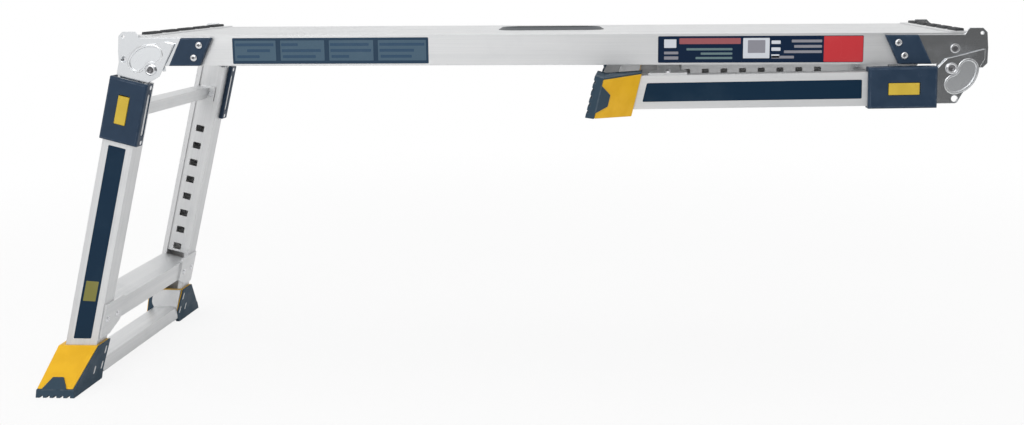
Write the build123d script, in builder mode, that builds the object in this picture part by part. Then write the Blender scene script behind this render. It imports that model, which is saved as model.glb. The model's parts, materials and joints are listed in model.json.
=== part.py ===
from build123d import *
from math import atan2, cos, degrees, radians, sin, tan
import os

# Folding work platform at its lowest height, left leg frame open and right leg frame folded under the deck.
# X runs along the deck, Y across it, Z is up and Z = 0 is the floor. All sizes are in millimetres.
# Every corner piece is drawn at the front left corner. Its other three places are mirror images, and the
# right leg frame is then turned about its pivots into the folded position.

# Deck and its hand slot's liner
deck_length = 1148.0
deck_width = 356.0
deck_top = 508.0
deck_side = 42.0
deck_wall = 2.5
deck_skin = 3.0
deck_lip = 24.0
rib_count = 4
rib_pitch = 68.0
rib_depth = 14.0
groove_pitch = 16.0
groove_margin = 18.0
groove_width = 2.5
groove_depth = 0.7
slot_length = 146.0
slot_width = 52.0
slot_corner = 22.0
liner_flange = 7.0
liner_rim = 4.0
liner_run = 6.9
liner_edge = 0.6
liner_wall = 2.5
liner_depth = 16.0

# End treads and their grip blocks
tread_sheet = 2.0
tread_seat = 0.3
tread_reach = 24.0
tread_drop = 34.0
grip_count = 5
grip_gap = 19.0
grip_margin = 14.5
grip_width = 11.0
grip_height = 3.5
grip_inset = 5.0
grip_edge = 1.0

# Deck hinge plates, pivots and covers
plate = 4.0
plate_low_edge = 0.5
plate_high_edge = 2.5
pivot_inset = 22.5
pivot_drop = 5.0
pivot_radius = 5.0
pivot_eye = 12.0
pivot_head_radius = 7.5
pivot_head = 2.5
pivot_bore = 3.2
pivot_bore_depth = 1.8
washer = 1.5
washer_radius = 10.0
hinge_overhang = 26.0
hinge_rise = 6.5
hinge_lean = 2.0
hinge_chamfer = 6.0
corner_hole_radius = 2.0
corner_hole_inset = 7.0
stop_gap = 1.5
stop_width = 4.0
stop_drop = 2.5
cover_start = 111.0
cover_width = 44.0
cover_lean = 19.0
cover_build = 5.5
cover_bevel = 1.5
cover_lap = 5.0
cover_rivet_inset = 12.5
cover_rivet_high = 10.3
cover_rivet_low = 11.4
ring_rivet_out = 5.0
ring_rivet_up = 26.0

# Leg plates
neck_gap = 1.0
neck_outer_edge = 1.0
neck_inner_edge = 4.0
throat = 13.0
throat_depth = 6.0
shoulder_out = 13.5
shoulder_depth = 17.5
ear_out = 43.5
ear_depth = 25.0
ear_width = 13.5
nose_radius = 36.5
nose_start = 178.0
nose_sweep = 61.0
lock_ear = 6.0
lock_ear_cut = 3.0
lock_u = -5.0
lock_edge = 6.5
dish_margin = 1.4
dish_start = 102.0
dish_sweep = 76.0
dish_depth = 1.2
dish_rim = 2.6
dish_rise = 0.8

# Hinge lock pins
lock_radius = 4.0
lock_shoulder_radius = 5.8
lock_shoulder = 2.2
lock_stem_radius = 2.5
lock_knob_radius = 7.0
lock_knob = 8.0
lock_knob_gap = 8.0
lock_boss_length = 20.0
lock_boss_wall = 2.0
lock_nose = 9.0

# Leg frames
leg_tilt = 14.3
fold_sag = 0.85
leg_top = 22.0
leg_edge = 3.0
leg_width = 45.5
rail_floor_gap = 2.0
rail_sheet = 2.5
rail_lip = 5.0
tube_length = 330.0
tube_depth = 30.0
tube_wall = 2.5
tang_length = 77.0
tang_gap = 1.1
tang_rivet_inset = 17.0
tang_rivet_pitch = 36.0
hole_count = 9
hole_pitch = 30.0
hole_length = 11.0
hole_width = 13.5
hole_corner = 1.5

# Collars and lock levers
collar_lead = 2.0
collar_length = 91.0
collar_end_wall = 2.0
collar_build = 8.0
collar_front = 3.0
collar_cheek = 24.0
collar_inner_skin = 6.5
collar_outer_skin = 3.5
collar_bevel = 2.5
cheek_slot_length = 62.0
cheek_slot_width = 9.0
button_start = 24.0
button_length = 40.5
button_width = 15.8
button_proud = 1.5
button_edge = 1.0
button_tail = 18.0
lever_pin_radius = 1.5
lever_pin_seat = 4.8
lever_pin_end = 7.0
lever_pin_depth = 5.0
lever_arm = 2.6
lever_arm_width = 12.4
lever_arm_root = 5.0
tooth_length = 10.0
tooth_room = 1.0
pin_block = 8.0
pin_block_width = 6.0
lever_spring_radius = 3.6
lever_spring_bore = 2.4
lever_spring_end = 9.0

# Crossbars and bottom bars
upper_bar_u = 70.0
upper_bar_size = 18.0
upper_bar_wall = 2.0
upper_tab_length = 24.0
upper_tab_gap = 1.5
upper_tab_drop = 4.0
upper_rivet_inset = 5.8
lower_bar_up = 103.0
lower_bar_tall = 32.0
lower_bar_wide = 42.0
lower_bar_wall = 2.5
gusset_sheet = 3.0
gusset_lead = 7.0
gusset_tail = 14.0
gusset_span = 32.0
gusset_lap = 33.0
gusset_rivet_u = 19.0
bottom_bar_inset = 0.7
bottom_bar_wide = 40.0
bottom_bar_low = 8.0
bottom_bar_tall = 20.0
bottom_bar_wall = 2.5
bar_plate = 2.5
bar_plate_gap = 1.0
bar_plate_turn = 36.0
bar_plate_cut = 12.0
bar_plate_corner = 14.0

# Feet
sole_inset = 1.0
sole_heel = 3.5
sole_length = 57.5
sole_undercut = 8.0
sole_reach = 66.0
sole_tall = 12.0
sole_flare = 2.0
sole_groove_count = 5
sole_groove_pitch = 10.0
sole_groove_width = 4.0
sole_groove_depth = 3.0
shell_top = 60.0
shell_wall = 2.5
shell_back = 9.4
shell_toe = 62.0
side_wall = 2.5
side_wall_gap = 0.2
side_slot_length = 13.0
side_slot_width = 5.0
side_slot_high = 15.0
side_slot_low = 9.5
side_slot_in = 9.0
side_slot_step = 26.0
hump_base = 36.0
hump_top = 16.0
hump_height = 20.0
hump_build = 2.0

# Fasteners
rivet_radius = 2.4
rivet_head_radius = 4.8
rivet_head = 1.8
rivet_tail = 1.2
rivet_taper = 35.0
ring_rivet_radius = 3.0
ring_rivet_head_radius = 6.3
ring_rivet_head = 1.2
ring_rivet_bore = 2.6
ring_rivet_dimple = 0.7
screw_radius = 1.8
screw_head_radius = 3.2
screw_head = 1.2

# Clearances
slide_gap = 0.4
side_gap = 0.1
pin_gap = 0.05
seat_gap = 0.3
tooth_gap = 0.3
button_gap = 0.3
lever_space = 1.2

# Places that follow from the sizes above. A depth is a distance from the middle plane of the platform out
# towards the front, so a piece at the front left corner has y = -depth.
deck_bottom = deck_top - deck_side
deck_end = deck_length / 2
deck_half = deck_width / 2
hinge_reach = deck_end + hinge_overhang
pivot_x = deck_end - pivot_inset
pivot_z = deck_bottom - pivot_drop
plate_top = deck_top - plate_high_edge
plate_low = deck_bottom + plate_low_edge
plate_tall = plate_top - plate_low
tilt_sin = sin(radians(leg_tilt))
tilt_cos = cos(radians(leg_tilt))
fold_angle = 90.0 + leg_tilt - fold_sag

plate_out = deck_half + plate
washer_out = plate_out + washer
leg_plate_in = washer_out + side_gap
leg_plate_out = leg_plate_in + plate
cover_out = plate_out + cover_build
tube_out = leg_plate_out + tube_wall
tube_in = tube_out - tube_depth
web_in = tube_out + slide_gap
rail_out = web_in + rail_sheet
lip_out = tube_in - slide_gap
rail_in = lip_out - rail_sheet
collar_out = rail_out + collar_build
cavity_out = collar_out - collar_front
cheek_in = collar_out - collar_cheek
upper_bar_end = rail_in - seat_gap

leg_mid = leg_edge + leg_width / 2
rail_v0 = leg_edge
rail_v1 = leg_edge + leg_width
rail_end = (pivot_z + rail_v0 * tilt_sin - sole_tall - rail_floor_gap) / tilt_cos
rail_length = rail_end - leg_top
lower_bar_u = rail_end - lower_bar_up
lip = rail_sheet + rail_lip
tube_v0 = rail_v0 + rail_sheet + slide_gap
tube_v1 = rail_v1 - rail_sheet - slide_gap
collar_top = leg_top - collar_lead
collar_end = collar_top + collar_length
collar_v0 = rail_v0 - collar_inner_skin
collar_v1 = rail_v1 + collar_outer_skin
button_u0 = collar_top + button_start
button_u1 = button_u0 + button_length
button_tail_u = button_u1 - button_tail
arm_end = collar_end - collar_end_wall - tooth_room
first_hole = arm_end - tooth_length / 2
half_button = button_width / 2
half_window = half_button + button_gap
lever_u = button_u1 - lever_pin_end
lever_depth = collar_out - lever_pin_depth
tooth_depth = tube_out + tooth_gap
arm_in = tooth_depth + lever_space
arm_out = arm_in + lever_arm
spring_u = button_u1 + lever_spring_end

neck_end = collar_top - neck_gap
neck_outer = rail_v1 - neck_outer_edge
neck_inner = collar_v0 + neck_inner_edge
lock_v = neck_outer - lock_edge

foot_x = pivot_x + pivot_z * tilt_sin / tilt_cos
sole_x0 = foot_x - sole_heel
sole_x1 = sole_x0 + sole_length
deck_mid_x = (sole_x1 - hinge_reach) / 2
shell_in = rail_in - shell_wall
shell_out = rail_out + shell_wall
toe_out = rail_out + shell_toe
sole_out = rail_out + sole_reach

along_leg = Vector(-tilt_sin, 0, -tilt_cos)
across_leg = Vector(-tilt_cos, 0, tilt_sin)
left_pivot = Vector(deck_mid_x - pivot_x, 0, pivot_z)
right_pivot = Vector(deck_mid_x + pivot_x, 0, pivot_z)
middle = Plane.YZ.offset(deck_mid_x)


def deck_face(depth):
    """Upright plane at a depth: local x is the distance out from the deck's middle, local y is height."""
    return Plane(origin=(deck_mid_x, -depth, 0), x_dir=(-1, 0, 0), z_dir=(0, 1, 0))


def leg_face(depth):
    """Upright plane at a depth: local x runs down the leg from its pivot, local y outwards across it."""
    return Plane(origin=left_pivot + Vector(0, -depth, 0), x_dir=along_leg, z_dir=(0, 1, 0))


def leg_section(down):
    """Plane square to the leg: local x runs outwards across the leg, local y is the platform's Y."""
    return Plane(origin=left_pivot + along_leg * down, x_dir=across_leg, z_dir=along_leg)


def leg_flank(across):
    """Plane along the leg that faces inwards: local x runs down the leg, local y is the platform's Y."""
    return Plane(origin=left_pivot + across_leg * across, x_dir=along_leg, z_dir=-across_leg)


def level(height):
    """Level plane: local x is the distance out from the deck's middle, local y is depth."""
    return Plane(origin=(deck_mid_x, 0, height), x_dir=(-1, 0, 0), z_dir=(0, 0, 1))


def leg_place(down, across):
    """Distance out from the deck's middle, and height, of a place on the open leg."""
    out = pivot_x + down * tilt_sin + across * tilt_cos
    height = pivot_z - down * tilt_cos + across * tilt_sin
    return out, height


def leg_edge_x(across, height):
    """Distance out from the deck's middle where a line along the open leg passes a height."""
    return pivot_x + ((pivot_z - height) * tilt_sin + across) / tilt_cos


def span(x0, x1, y0, y1, mode=Mode.ADD):
    """Rectangle between two corners, in the sketch that is open."""
    with Locations(((x0 + x1) / 2, (y0 + y1) / 2)):
        Rectangle(x1 - x0, y1 - y0, mode=mode)


def rounds(plane, places, radius, length, mode=Mode.ADD, taper=0.0):
    """Round bars or holes of one size from a plane, in the part that is open."""
    with BuildSketch(plane) as discs:
        with Locations(*places):
            Circle(radius)
    extrude(discs.sketch, amount=length, mode=mode, taper=taper)


def write(piece, name):
    """Label a finished piece and write it to its own file."""
    piece.label = name
    export_step(piece, f"parts/{name}.step")


def write_deck_corners(piece, name):
    """Write a front left piece of the deck and its mirror images at the other corners."""
    rear = mirror(piece, about=Plane.XZ)
    write(piece, f"{name}_front_left")
    write(rear, f"{name}_rear_left")
    write(mirror(piece, about=middle), f"{name}_front_right")
    write(mirror(rear, about=middle), f"{name}_rear_right")


def folded(piece):
    """Mirror image of a left leg piece on the right leg frame, turned under the deck."""
    return mirror(piece, about=middle).rotate(Axis(right_pivot, (0, 1, 0)), fold_angle)


def write_leg_pair(piece, name):
    """Write a piece that spans the open left leg frame, and the same piece of the folded right frame."""
    write(piece, f"{name}_left")
    write(folded(piece), f"{name}_right")


def write_leg_corners(piece, name):
    """Write a front left piece of the legs, its rear image, and both on the folded right frame."""
    write_leg_pair(piece, f"{name}_front")
    write_leg_pair(mirror(piece, about=Plane.XZ), f"{name}_rear")


os.makedirs("parts", exist_ok=True)

# Rivets that hold the deck hinge plates and their covers to the deck's side walls
cover_inner_top = deck_end - cover_start
cover_inner_low = cover_inner_top + cover_lean
cover_rivets = [
    (cover_inner_top + cover_lean * drop / plate_tall + cover_rivet_inset, plate_top - drop)
    for drop in (cover_rivet_high, plate_tall - cover_rivet_low)
]
ring_rivet = (pivot_x + ring_rivet_out, pivot_z + ring_rivet_up)
lock_place = leg_place(lock_u, lock_v)

# Deck plank: one extrusion with side walls, bottom lips, ribs under a grooved top, a hand slot, and a shallow
# seat for the tread at each end
groove_count = int((deck_width - 2 * groove_margin) / groove_pitch) + 1
seat_length = tread_reach + seat_gap
deck_section = Plane(origin=(deck_mid_x - deck_end, 0, deck_bottom), x_dir=(0, 1, 0), z_dir=(1, 0, 0))
with BuildPart() as deck_plank:
    with BuildSketch(deck_section):
        span(-deck_half, deck_half, 0, deck_side)
        span(-deck_half + deck_wall, deck_half - deck_wall, 0, deck_side - deck_skin, Mode.SUBTRACT)
        span(-deck_half, -deck_half + deck_lip, 0, deck_wall)
        span(deck_half - deck_lip, deck_half, 0, deck_wall)
        with Locations((0, deck_side - deck_skin - rib_depth / 2)):
            with GridLocations(rib_pitch, 1, rib_count, 1):
                Rectangle(deck_wall, rib_depth)
        with Locations((0, deck_side - groove_depth / 2)):
            with GridLocations(groove_pitch, 1, groove_count, 1):
                Rectangle(groove_width, groove_depth, mode=Mode.SUBTRACT)
    extrude(amount=deck_length)
    with BuildSketch(level(deck_top)):
        RectangleRounded(slot_length, slot_width, slot_corner)
    extrude(amount=-deck_skin - rib_depth, mode=Mode.SUBTRACT)
    with BuildSketch(level(deck_top)):
        with GridLocations(deck_length - seat_length, 1, 2, 1):
            Rectangle(seat_length, deck_width)
    extrude(amount=-tread_seat, mode=Mode.SUBTRACT)
    for depth, inwards in ((deck_half, deck_wall), (-deck_half, -deck_wall)):
        for end in (1, -1):
            places = [(end * out, height) for out, height in cover_rivets]
            rounds(deck_face(depth), places, rivet_radius + pin_gap, inwards, Mode.SUBTRACT)
            places = [(end * ring_rivet[0], ring_rivet[1])]
            rounds(deck_face(depth), places, ring_rivet_radius + pin_gap, inwards, Mode.SUBTRACT)
write(deck_plank.part, "deck_plank")

# Hand slot liner: a raised rim with sloping sides, and a skirt down through the slot
liner_inset = seat_gap + liner_wall
with BuildPart() as slot_liner:
    with BuildSketch(level(deck_top)):
        RectangleRounded(
            slot_length + 2 * liner_flange, slot_width + 2 * liner_flange, slot_corner + liner_flange
        )
    extrude(amount=liner_rim, taper=degrees(atan2(liner_run, liner_rim)))
    with BuildSketch(level(deck_top)):
        RectangleRounded(slot_length - 2 * seat_gap, slot_width - 2 * seat_gap, slot_corner - seat_gap)
    extrude(amount=-liner_depth)
    with BuildSketch(level(deck_top + liner_rim)):
        RectangleRounded(
            slot_length - 2 * liner_inset, slot_width - 2 * liner_inset, slot_corner - liner_inset
        )
    extrude(amount=-liner_rim - liner_depth, mode=Mode.SUBTRACT)
    fillet(slot_liner.faces().sort_by(Axis.Z)[-1].edges(), liner_edge)
write(slot_liner.part, "slot_liner")

# End treads: an angle over each end of the deck, with rubber grip blocks on top
tread_x1 = deck_end + tread_sheet
tread_low = deck_top - tread_seat
tread_top = tread_low + tread_sheet
grip_pitch = (deck_width - 2 * grip_margin + grip_gap) / grip_count
with BuildPart() as end_tread:
    with BuildSketch(deck_face(deck_half)):
        span(deck_end - tread_reach, tread_x1, tread_low, tread_top)
        span(deck_end, tread_x1, deck_top - tread_drop, tread_top)
    extrude(amount=deck_width)
write(end_tread.part, "end_tread_left")
write(mirror(end_tread.part, about=middle), "end_tread_right")

with BuildPart() as tread_grips:
    with BuildSketch(level(tread_top)):
        with Locations((tread_x1 - grip_inset - grip_width / 2, 0)):
            with GridLocations(1, grip_pitch, 1, grip_count):
                Rectangle(grip_width, grip_pitch - grip_gap)
    extrude(amount=grip_height)
    chamfer(tread_grips.faces().filter_by(Axis.Z).group_by(Axis.Z)[-1].edges(), grip_edge)
    mirror(about=middle)
write(tread_grips.part, "tread_grips")

# Deck hinge plates: each carries the leg's pivot, a stop tab and a boss for the hinge lock pin
stop_x0 = pivot_x - collar_top + stop_gap
stop_x1 = stop_x0 + stop_width
lock_boss_in = deck_half - lock_boss_length
lock_boss_radius = lock_shoulder_radius + pin_gap + lock_boss_wall
with BuildPart() as deck_hinge_plate:
    with BuildSketch(deck_face(plate_out)):
        with BuildLine():
            Polyline(
                (pivot_x + pivot_eye, pivot_z),
                (hinge_reach - hinge_chamfer, pivot_z),
                (hinge_reach, pivot_z + hinge_chamfer),
                (hinge_reach, deck_top - deck_side / 2),
                (hinge_reach - hinge_lean, deck_top + hinge_rise - hinge_chamfer),
                (hinge_reach - hinge_lean - hinge_chamfer, deck_top + hinge_rise),
                (deck_end, deck_top + hinge_rise),
                (deck_end - hinge_chamfer, plate_top),
                (cover_inner_top + cover_lap, plate_top),
                (cover_inner_low + cover_lap, plate_low),
                (stop_x0, plate_low),
                (stop_x0, pivot_z - stop_drop),
                (stop_x1, pivot_z - stop_drop),
                (stop_x1, pivot_z),
                (pivot_x - pivot_eye, pivot_z),
            )
            ThreePointArc(
                (pivot_x - pivot_eye, pivot_z),
                (pivot_x, pivot_z - pivot_eye),
                (pivot_x + pivot_eye, pivot_z),
            )
        make_face()
    extrude(amount=plate)
    rounds(deck_face(deck_half), [lock_place], lock_boss_radius, lock_boss_length)
    rounds(deck_face(plate_out), [(pivot_x, pivot_z)], pivot_radius + pin_gap, plate, Mode.SUBTRACT)
    rounds(deck_face(plate_out), cover_rivets, rivet_radius + pin_gap, plate, Mode.SUBTRACT)
    rounds(deck_face(plate_out), [ring_rivet], ring_rivet_radius + pin_gap, plate, Mode.SUBTRACT)
    rounds(deck_face(plate_out), [lock_place], lock_radius + pin_gap, plate, Mode.SUBTRACT)
    corner_hole = (hinge_reach - hinge_lean - corner_hole_inset, deck_top + hinge_rise - corner_hole_inset)
    rounds(deck_face(plate_out), [corner_hole], corner_hole_radius, plate, Mode.SUBTRACT)
    bore_length = lock_boss_length - lock_boss_wall
    rounds(deck_face(deck_half), [lock_place], lock_shoulder_radius + pin_gap, bore_length, Mode.SUBTRACT)
    rounds(deck_face(deck_half), [lock_place], lock_stem_radius + pin_gap, lock_boss_length, Mode.SUBTRACT)
write_deck_corners(deck_hinge_plate.part, "deck_hinge_plate")

# Hinge covers: plastic blocks over the inner end of each deck hinge plate
with BuildPart() as hinge_cover:
    with BuildSketch(deck_face(cover_out)):
        with BuildLine():
            Polyline(
                (cover_inner_top, plate_top),
                (cover_inner_top + cover_width, plate_top),
                (cover_inner_low + cover_width, plate_low),
                (cover_inner_low, plate_low),
                close=True,
            )
        make_face()
    extrude(amount=cover_out - deck_half)
    chamfer(hinge_cover.faces().sort_by(Axis.Y)[0].edges(), cover_bevel)
    with BuildSketch(deck_face(plate_out)):
        with BuildLine():
            Polyline(
                (cover_inner_top + cover_lap - seat_gap, plate_top),
                (cover_inner_top + cover_width, plate_top),
                (cover_inner_low + cover_width, plate_low),
                (cover_inner_low + cover_lap - seat_gap, plate_low),
                close=True,
            )
        make_face()
    extrude(amount=plate, mode=Mode.SUBTRACT)
    rounds(deck_face(cover_out), cover_rivets, rivet_radius + pin_gap, cover_build, Mode.SUBTRACT)
write_deck_corners(hinge_cover.part, "hinge_cover")

wall_in = deck_half - deck_wall
with BuildPart() as deck_rivets:
    rounds(deck_face(cover_out), cover_rivets, rivet_radius, cover_out - wall_in + rivet_tail)
    rounds(deck_face(cover_out), cover_rivets, rivet_head_radius, -rivet_head, taper=rivet_taper)
    rounds(deck_face(wall_in), cover_rivets, rivet_head_radius, rivet_tail)
    rounds(deck_face(plate_out), [ring_rivet], ring_rivet_radius, plate_out - wall_in + rivet_tail)
    rounds(deck_face(plate_out), [ring_rivet], ring_rivet_head_radius, -ring_rivet_head)
    rounds(deck_face(wall_in), [ring_rivet], ring_rivet_head_radius, rivet_tail)
    ring_rivet_out_face = deck_face(plate_out + ring_rivet_head)
    rounds(ring_rivet_out_face, [ring_rivet], ring_rivet_bore, ring_rivet_dimple, Mode.SUBTRACT)
    mirror(about=Plane.XZ)
    mirror(about=middle)
write(deck_rivets.part, "deck_rivets")

# Leg pivots: a headed pin through both plates, with a washer between them
pivot = [(pivot_x, pivot_z)]
head_in = leg_plate_out + side_gap
head_out = head_in + pivot_head
with BuildPart() as pivot_pins:
    rounds(deck_face(head_out), pivot, pivot_head_radius, pivot_head)
    rounds(deck_face(head_out), pivot, pivot_radius, head_out - deck_half)
    rounds(deck_face(head_out), pivot, pivot_bore, pivot_bore_depth, Mode.SUBTRACT)
    with BuildSketch(deck_face(washer_out)):
        with Locations(*pivot):
            Circle(washer_radius)
            Circle(pivot_radius + pin_gap, mode=Mode.SUBTRACT)
    extrude(amount=washer)
    mirror(about=Plane.XZ)
    mirror(about=middle)
write(pivot_pins.part, "pivot_pins")

# Hinge lock pins: a pin with a shoulder for its spring, and a stem with a pull knob under the deck's end
lock_tip = plate_out - seat_gap
lock_shoulder_out = lock_tip - lock_nose
lock_shoulder_in = lock_shoulder_out - lock_shoulder
lock_spring_in = lock_boss_in + lock_boss_wall
lock_knob_out = lock_boss_in - lock_knob_gap
with BuildPart() as hinge_lock_pin:
    rounds(deck_face(lock_tip), [lock_place], lock_radius, lock_nose)
    rounds(deck_face(lock_shoulder_out), [lock_place], lock_shoulder_radius, lock_shoulder)
    rounds(deck_face(lock_shoulder_in), [lock_place], lock_stem_radius, lock_shoulder_in - lock_knob_out)
    rounds(deck_face(lock_knob_out), [lock_place], lock_knob_radius, lock_knob)
    chamfer(hinge_lock_pin.faces().sort_by(Axis.Y)[0].edges(), pivot_radius - lock_radius)
    fillet(hinge_lock_pin.faces().sort_by(Axis.Y)[-1].edges(), lock_boss_wall)
write_deck_corners(hinge_lock_pin.part, "hinge_lock_pin")

with BuildPart() as lock_pin_springs:
    with BuildSketch(deck_face(lock_shoulder_in)):
        with Locations(lock_place):
            Circle(lock_shoulder_radius - seat_gap)
            Circle(lock_stem_radius + seat_gap, mode=Mode.SUBTRACT)
    extrude(amount=lock_shoulder_in - lock_spring_in)
    mirror(about=Plane.XZ)
    mirror(about=middle)
write(lock_pin_springs.part, "lock_pin_springs")

# Leg hinge plates: a flat ear with a pressed dish and a lock hole, and a tang inside the top of the tube
tang_v0 = tube_v0 + tube_wall + tang_gap
tang_v1 = tube_v1 - tube_wall - tang_gap
tang_end = neck_end + tang_length
last_tang_rivet = tang_end - tang_rivet_inset
tang_rivets = [(last_tang_rivet - tang_rivet_pitch, leg_mid), (last_tang_rivet, leg_mid)]
dish_in = pivot_head_radius + dish_margin
dish_out = nose_radius - dish_margin
dish_path = CenterArc((0, 0), (dish_in + dish_out) / 2, dish_start, dish_sweep)
with BuildPart() as leg_hinge_plate:
    with BuildSketch(leg_face(leg_plate_out)):
        with BuildLine():
            nose = CenterArc((0, 0), nose_radius, nose_start, -nose_sweep)
            Polyline(
                nose @ 1,
                (-lock_ear - lock_ear_cut, neck_outer - lock_ear_cut / 2),
                (-lock_ear, neck_outer),
                (neck_end, neck_outer),
                (neck_end, tang_v1),
                (tang_end, tang_v1),
                (tang_end, tang_v0),
                (neck_end, tang_v0),
                (neck_end, neck_inner),
                (throat_depth, -throat),
                (-shoulder_out, -shoulder_depth),
                (-ear_out, -ear_depth),
                (-ear_out, ear_width - ear_depth),
                nose @ 0,
            )
        make_face()
    extrude(amount=plate)
    with BuildSketch(leg_face(leg_plate_out)):
        SlotArc(dish_path, dish_out - dish_in)
    extrude(amount=-dish_rise)
    with BuildSketch(leg_face(leg_plate_out + dish_rise)):
        SlotArc(dish_path, dish_out - dish_in - 2 * dish_rim)
    extrude(amount=dish_rise + dish_depth, mode=Mode.SUBTRACT)
    rounds(leg_face(leg_plate_out), [(0, 0)], pivot_radius + pin_gap, plate, Mode.SUBTRACT)
    rounds(leg_face(leg_plate_out), [(lock_u, lock_v)], lock_radius + pin_gap, plate, Mode.SUBTRACT)
    rounds(leg_face(leg_plate_out), tang_rivets, rivet_radius + pin_gap, plate, Mode.SUBTRACT)
write_leg_corners(leg_hinge_plate.part, "leg_hinge_plate")

# Inner tubes, with a row of lock holes through both faces. The first hole, under the collar, is in the outer
# face only
upper_tab_low = rail_v0 + lip + upper_tab_gap
upper_bar_high = rail_v1 - lip
upper_tab_high = upper_bar_high - upper_tab_drop
upper_rivets_at = [(upper_bar_u, upper_tab_low + upper_rivet_inset)]
with BuildPart() as inner_tube:
    with BuildSketch(leg_section(leg_top)):
        span(tube_v0, tube_v1, -tube_out, -tube_in)
        span(
            tube_v0 + tube_wall,
            tube_v1 - tube_wall,
            -tube_out + tube_wall,
            -tube_in - tube_wall,
            Mode.SUBTRACT,
        )
    extrude(amount=tube_length)
    for count in range(hole_count):
        with BuildSketch(leg_face(tube_out)):
            with Locations((first_hole + count * hole_pitch, leg_mid)):
                RectangleRounded(hole_length, hole_width, hole_corner)
        extrude(amount=tube_depth if count else tube_wall, mode=Mode.SUBTRACT)
    rounds(leg_face(tube_out), tang_rivets, rivet_radius + pin_gap, tube_wall, Mode.SUBTRACT)
    rounds(leg_face(tube_in + tube_wall), upper_rivets_at, rivet_radius + pin_gap, tube_wall, Mode.SUBTRACT)
write_leg_corners(inner_tube.part, "inner_tube")

# Upper crossbars: a square tube between the inner tubes, with a riveted tab at each end
with BuildPart() as upper_crossbar:
    with BuildSketch(leg_face(upper_bar_end)):
        with Locations((upper_bar_u, upper_bar_high - upper_bar_size / 2)):
            Rectangle(upper_bar_size, upper_bar_size)
            bore = upper_bar_size - 2 * upper_bar_wall
            Rectangle(bore, bore, mode=Mode.SUBTRACT)
    extrude(amount=upper_bar_end)
    with BuildSketch(leg_face(tube_in)):
        half_tab = upper_tab_length / 2
        span(upper_bar_u - half_tab, upper_bar_u + half_tab, upper_tab_low, upper_tab_high)
    extrude(amount=tube_in - upper_bar_end)
    rounds(
        leg_face(tube_in),
        upper_rivets_at,
        rivet_radius + pin_gap,
        tube_in - upper_bar_end,
        Mode.SUBTRACT,
    )
    mirror(about=Plane.XZ)
write_leg_pair(upper_crossbar.part, "upper_crossbar")

with BuildPart() as upper_rivets:
    rounds(leg_face(tube_out), tang_rivets, rivet_radius, tube_out - leg_plate_in)
    rounds(leg_face(leg_plate_in), tang_rivets, rivet_head_radius, rivet_tail)
    rivet_length = tube_in + tube_wall + rivet_tail - upper_bar_end
    rounds(leg_face(upper_bar_end), upper_rivets_at, rivet_radius, -rivet_length)
    rounds(leg_face(upper_bar_end), upper_rivets_at, rivet_head_radius, rivet_head, taper=rivet_taper)
    rounds(leg_face(tube_in + tube_wall), upper_rivets_at, rivet_head_radius, -rivet_tail)
    mirror(about=Plane.XZ)
write_leg_pair(upper_rivets.part, "upper_rivets")

# Outer rails: lipped channels that slide on the inner tubes, with a window for the lock lever
gusset_rivet = (lower_bar_u + gusset_rivet_u, rail_out - gusset_lap / 2)
screw_inset = collar_end_wall + screw_head_radius
collar_screws = (collar_top + screw_inset, collar_end - screw_inset)
cheek_mid = (cheek_in + rail_out) / 2
with BuildPart() as outer_rail:
    with BuildSketch(leg_section(leg_top)):
        span(rail_v0, rail_v1, -rail_out, -rail_in)
        span(rail_v0 + rail_sheet, rail_v1 - rail_sheet, -web_in, -lip_out, Mode.SUBTRACT)
        span(rail_v0 + lip, rail_v1 - lip, -lip_out, -rail_in, Mode.SUBTRACT)
    extrude(amount=rail_length)
    with BuildSketch(leg_face(rail_out)):
        span(
            button_u0 - lever_space,
            arm_end + lever_space,
            leg_mid - half_button - lever_space,
            leg_mid + half_button + lever_space,
        )
    extrude(amount=rail_sheet, mode=Mode.SUBTRACT)
    rounds(
        leg_flank(rail_v0),
        [(gusset_rivet[0], -gusset_rivet[1])],
        rivet_radius + pin_gap,
        -rail_sheet,
        Mode.SUBTRACT,
    )
    places = [(down, -cheek_mid) for down in collar_screws]
    rounds(leg_flank(rail_v0), places, screw_radius + pin_gap, -rail_sheet, Mode.SUBTRACT)
write_leg_corners(outer_rail.part, "outer_rail")

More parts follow.
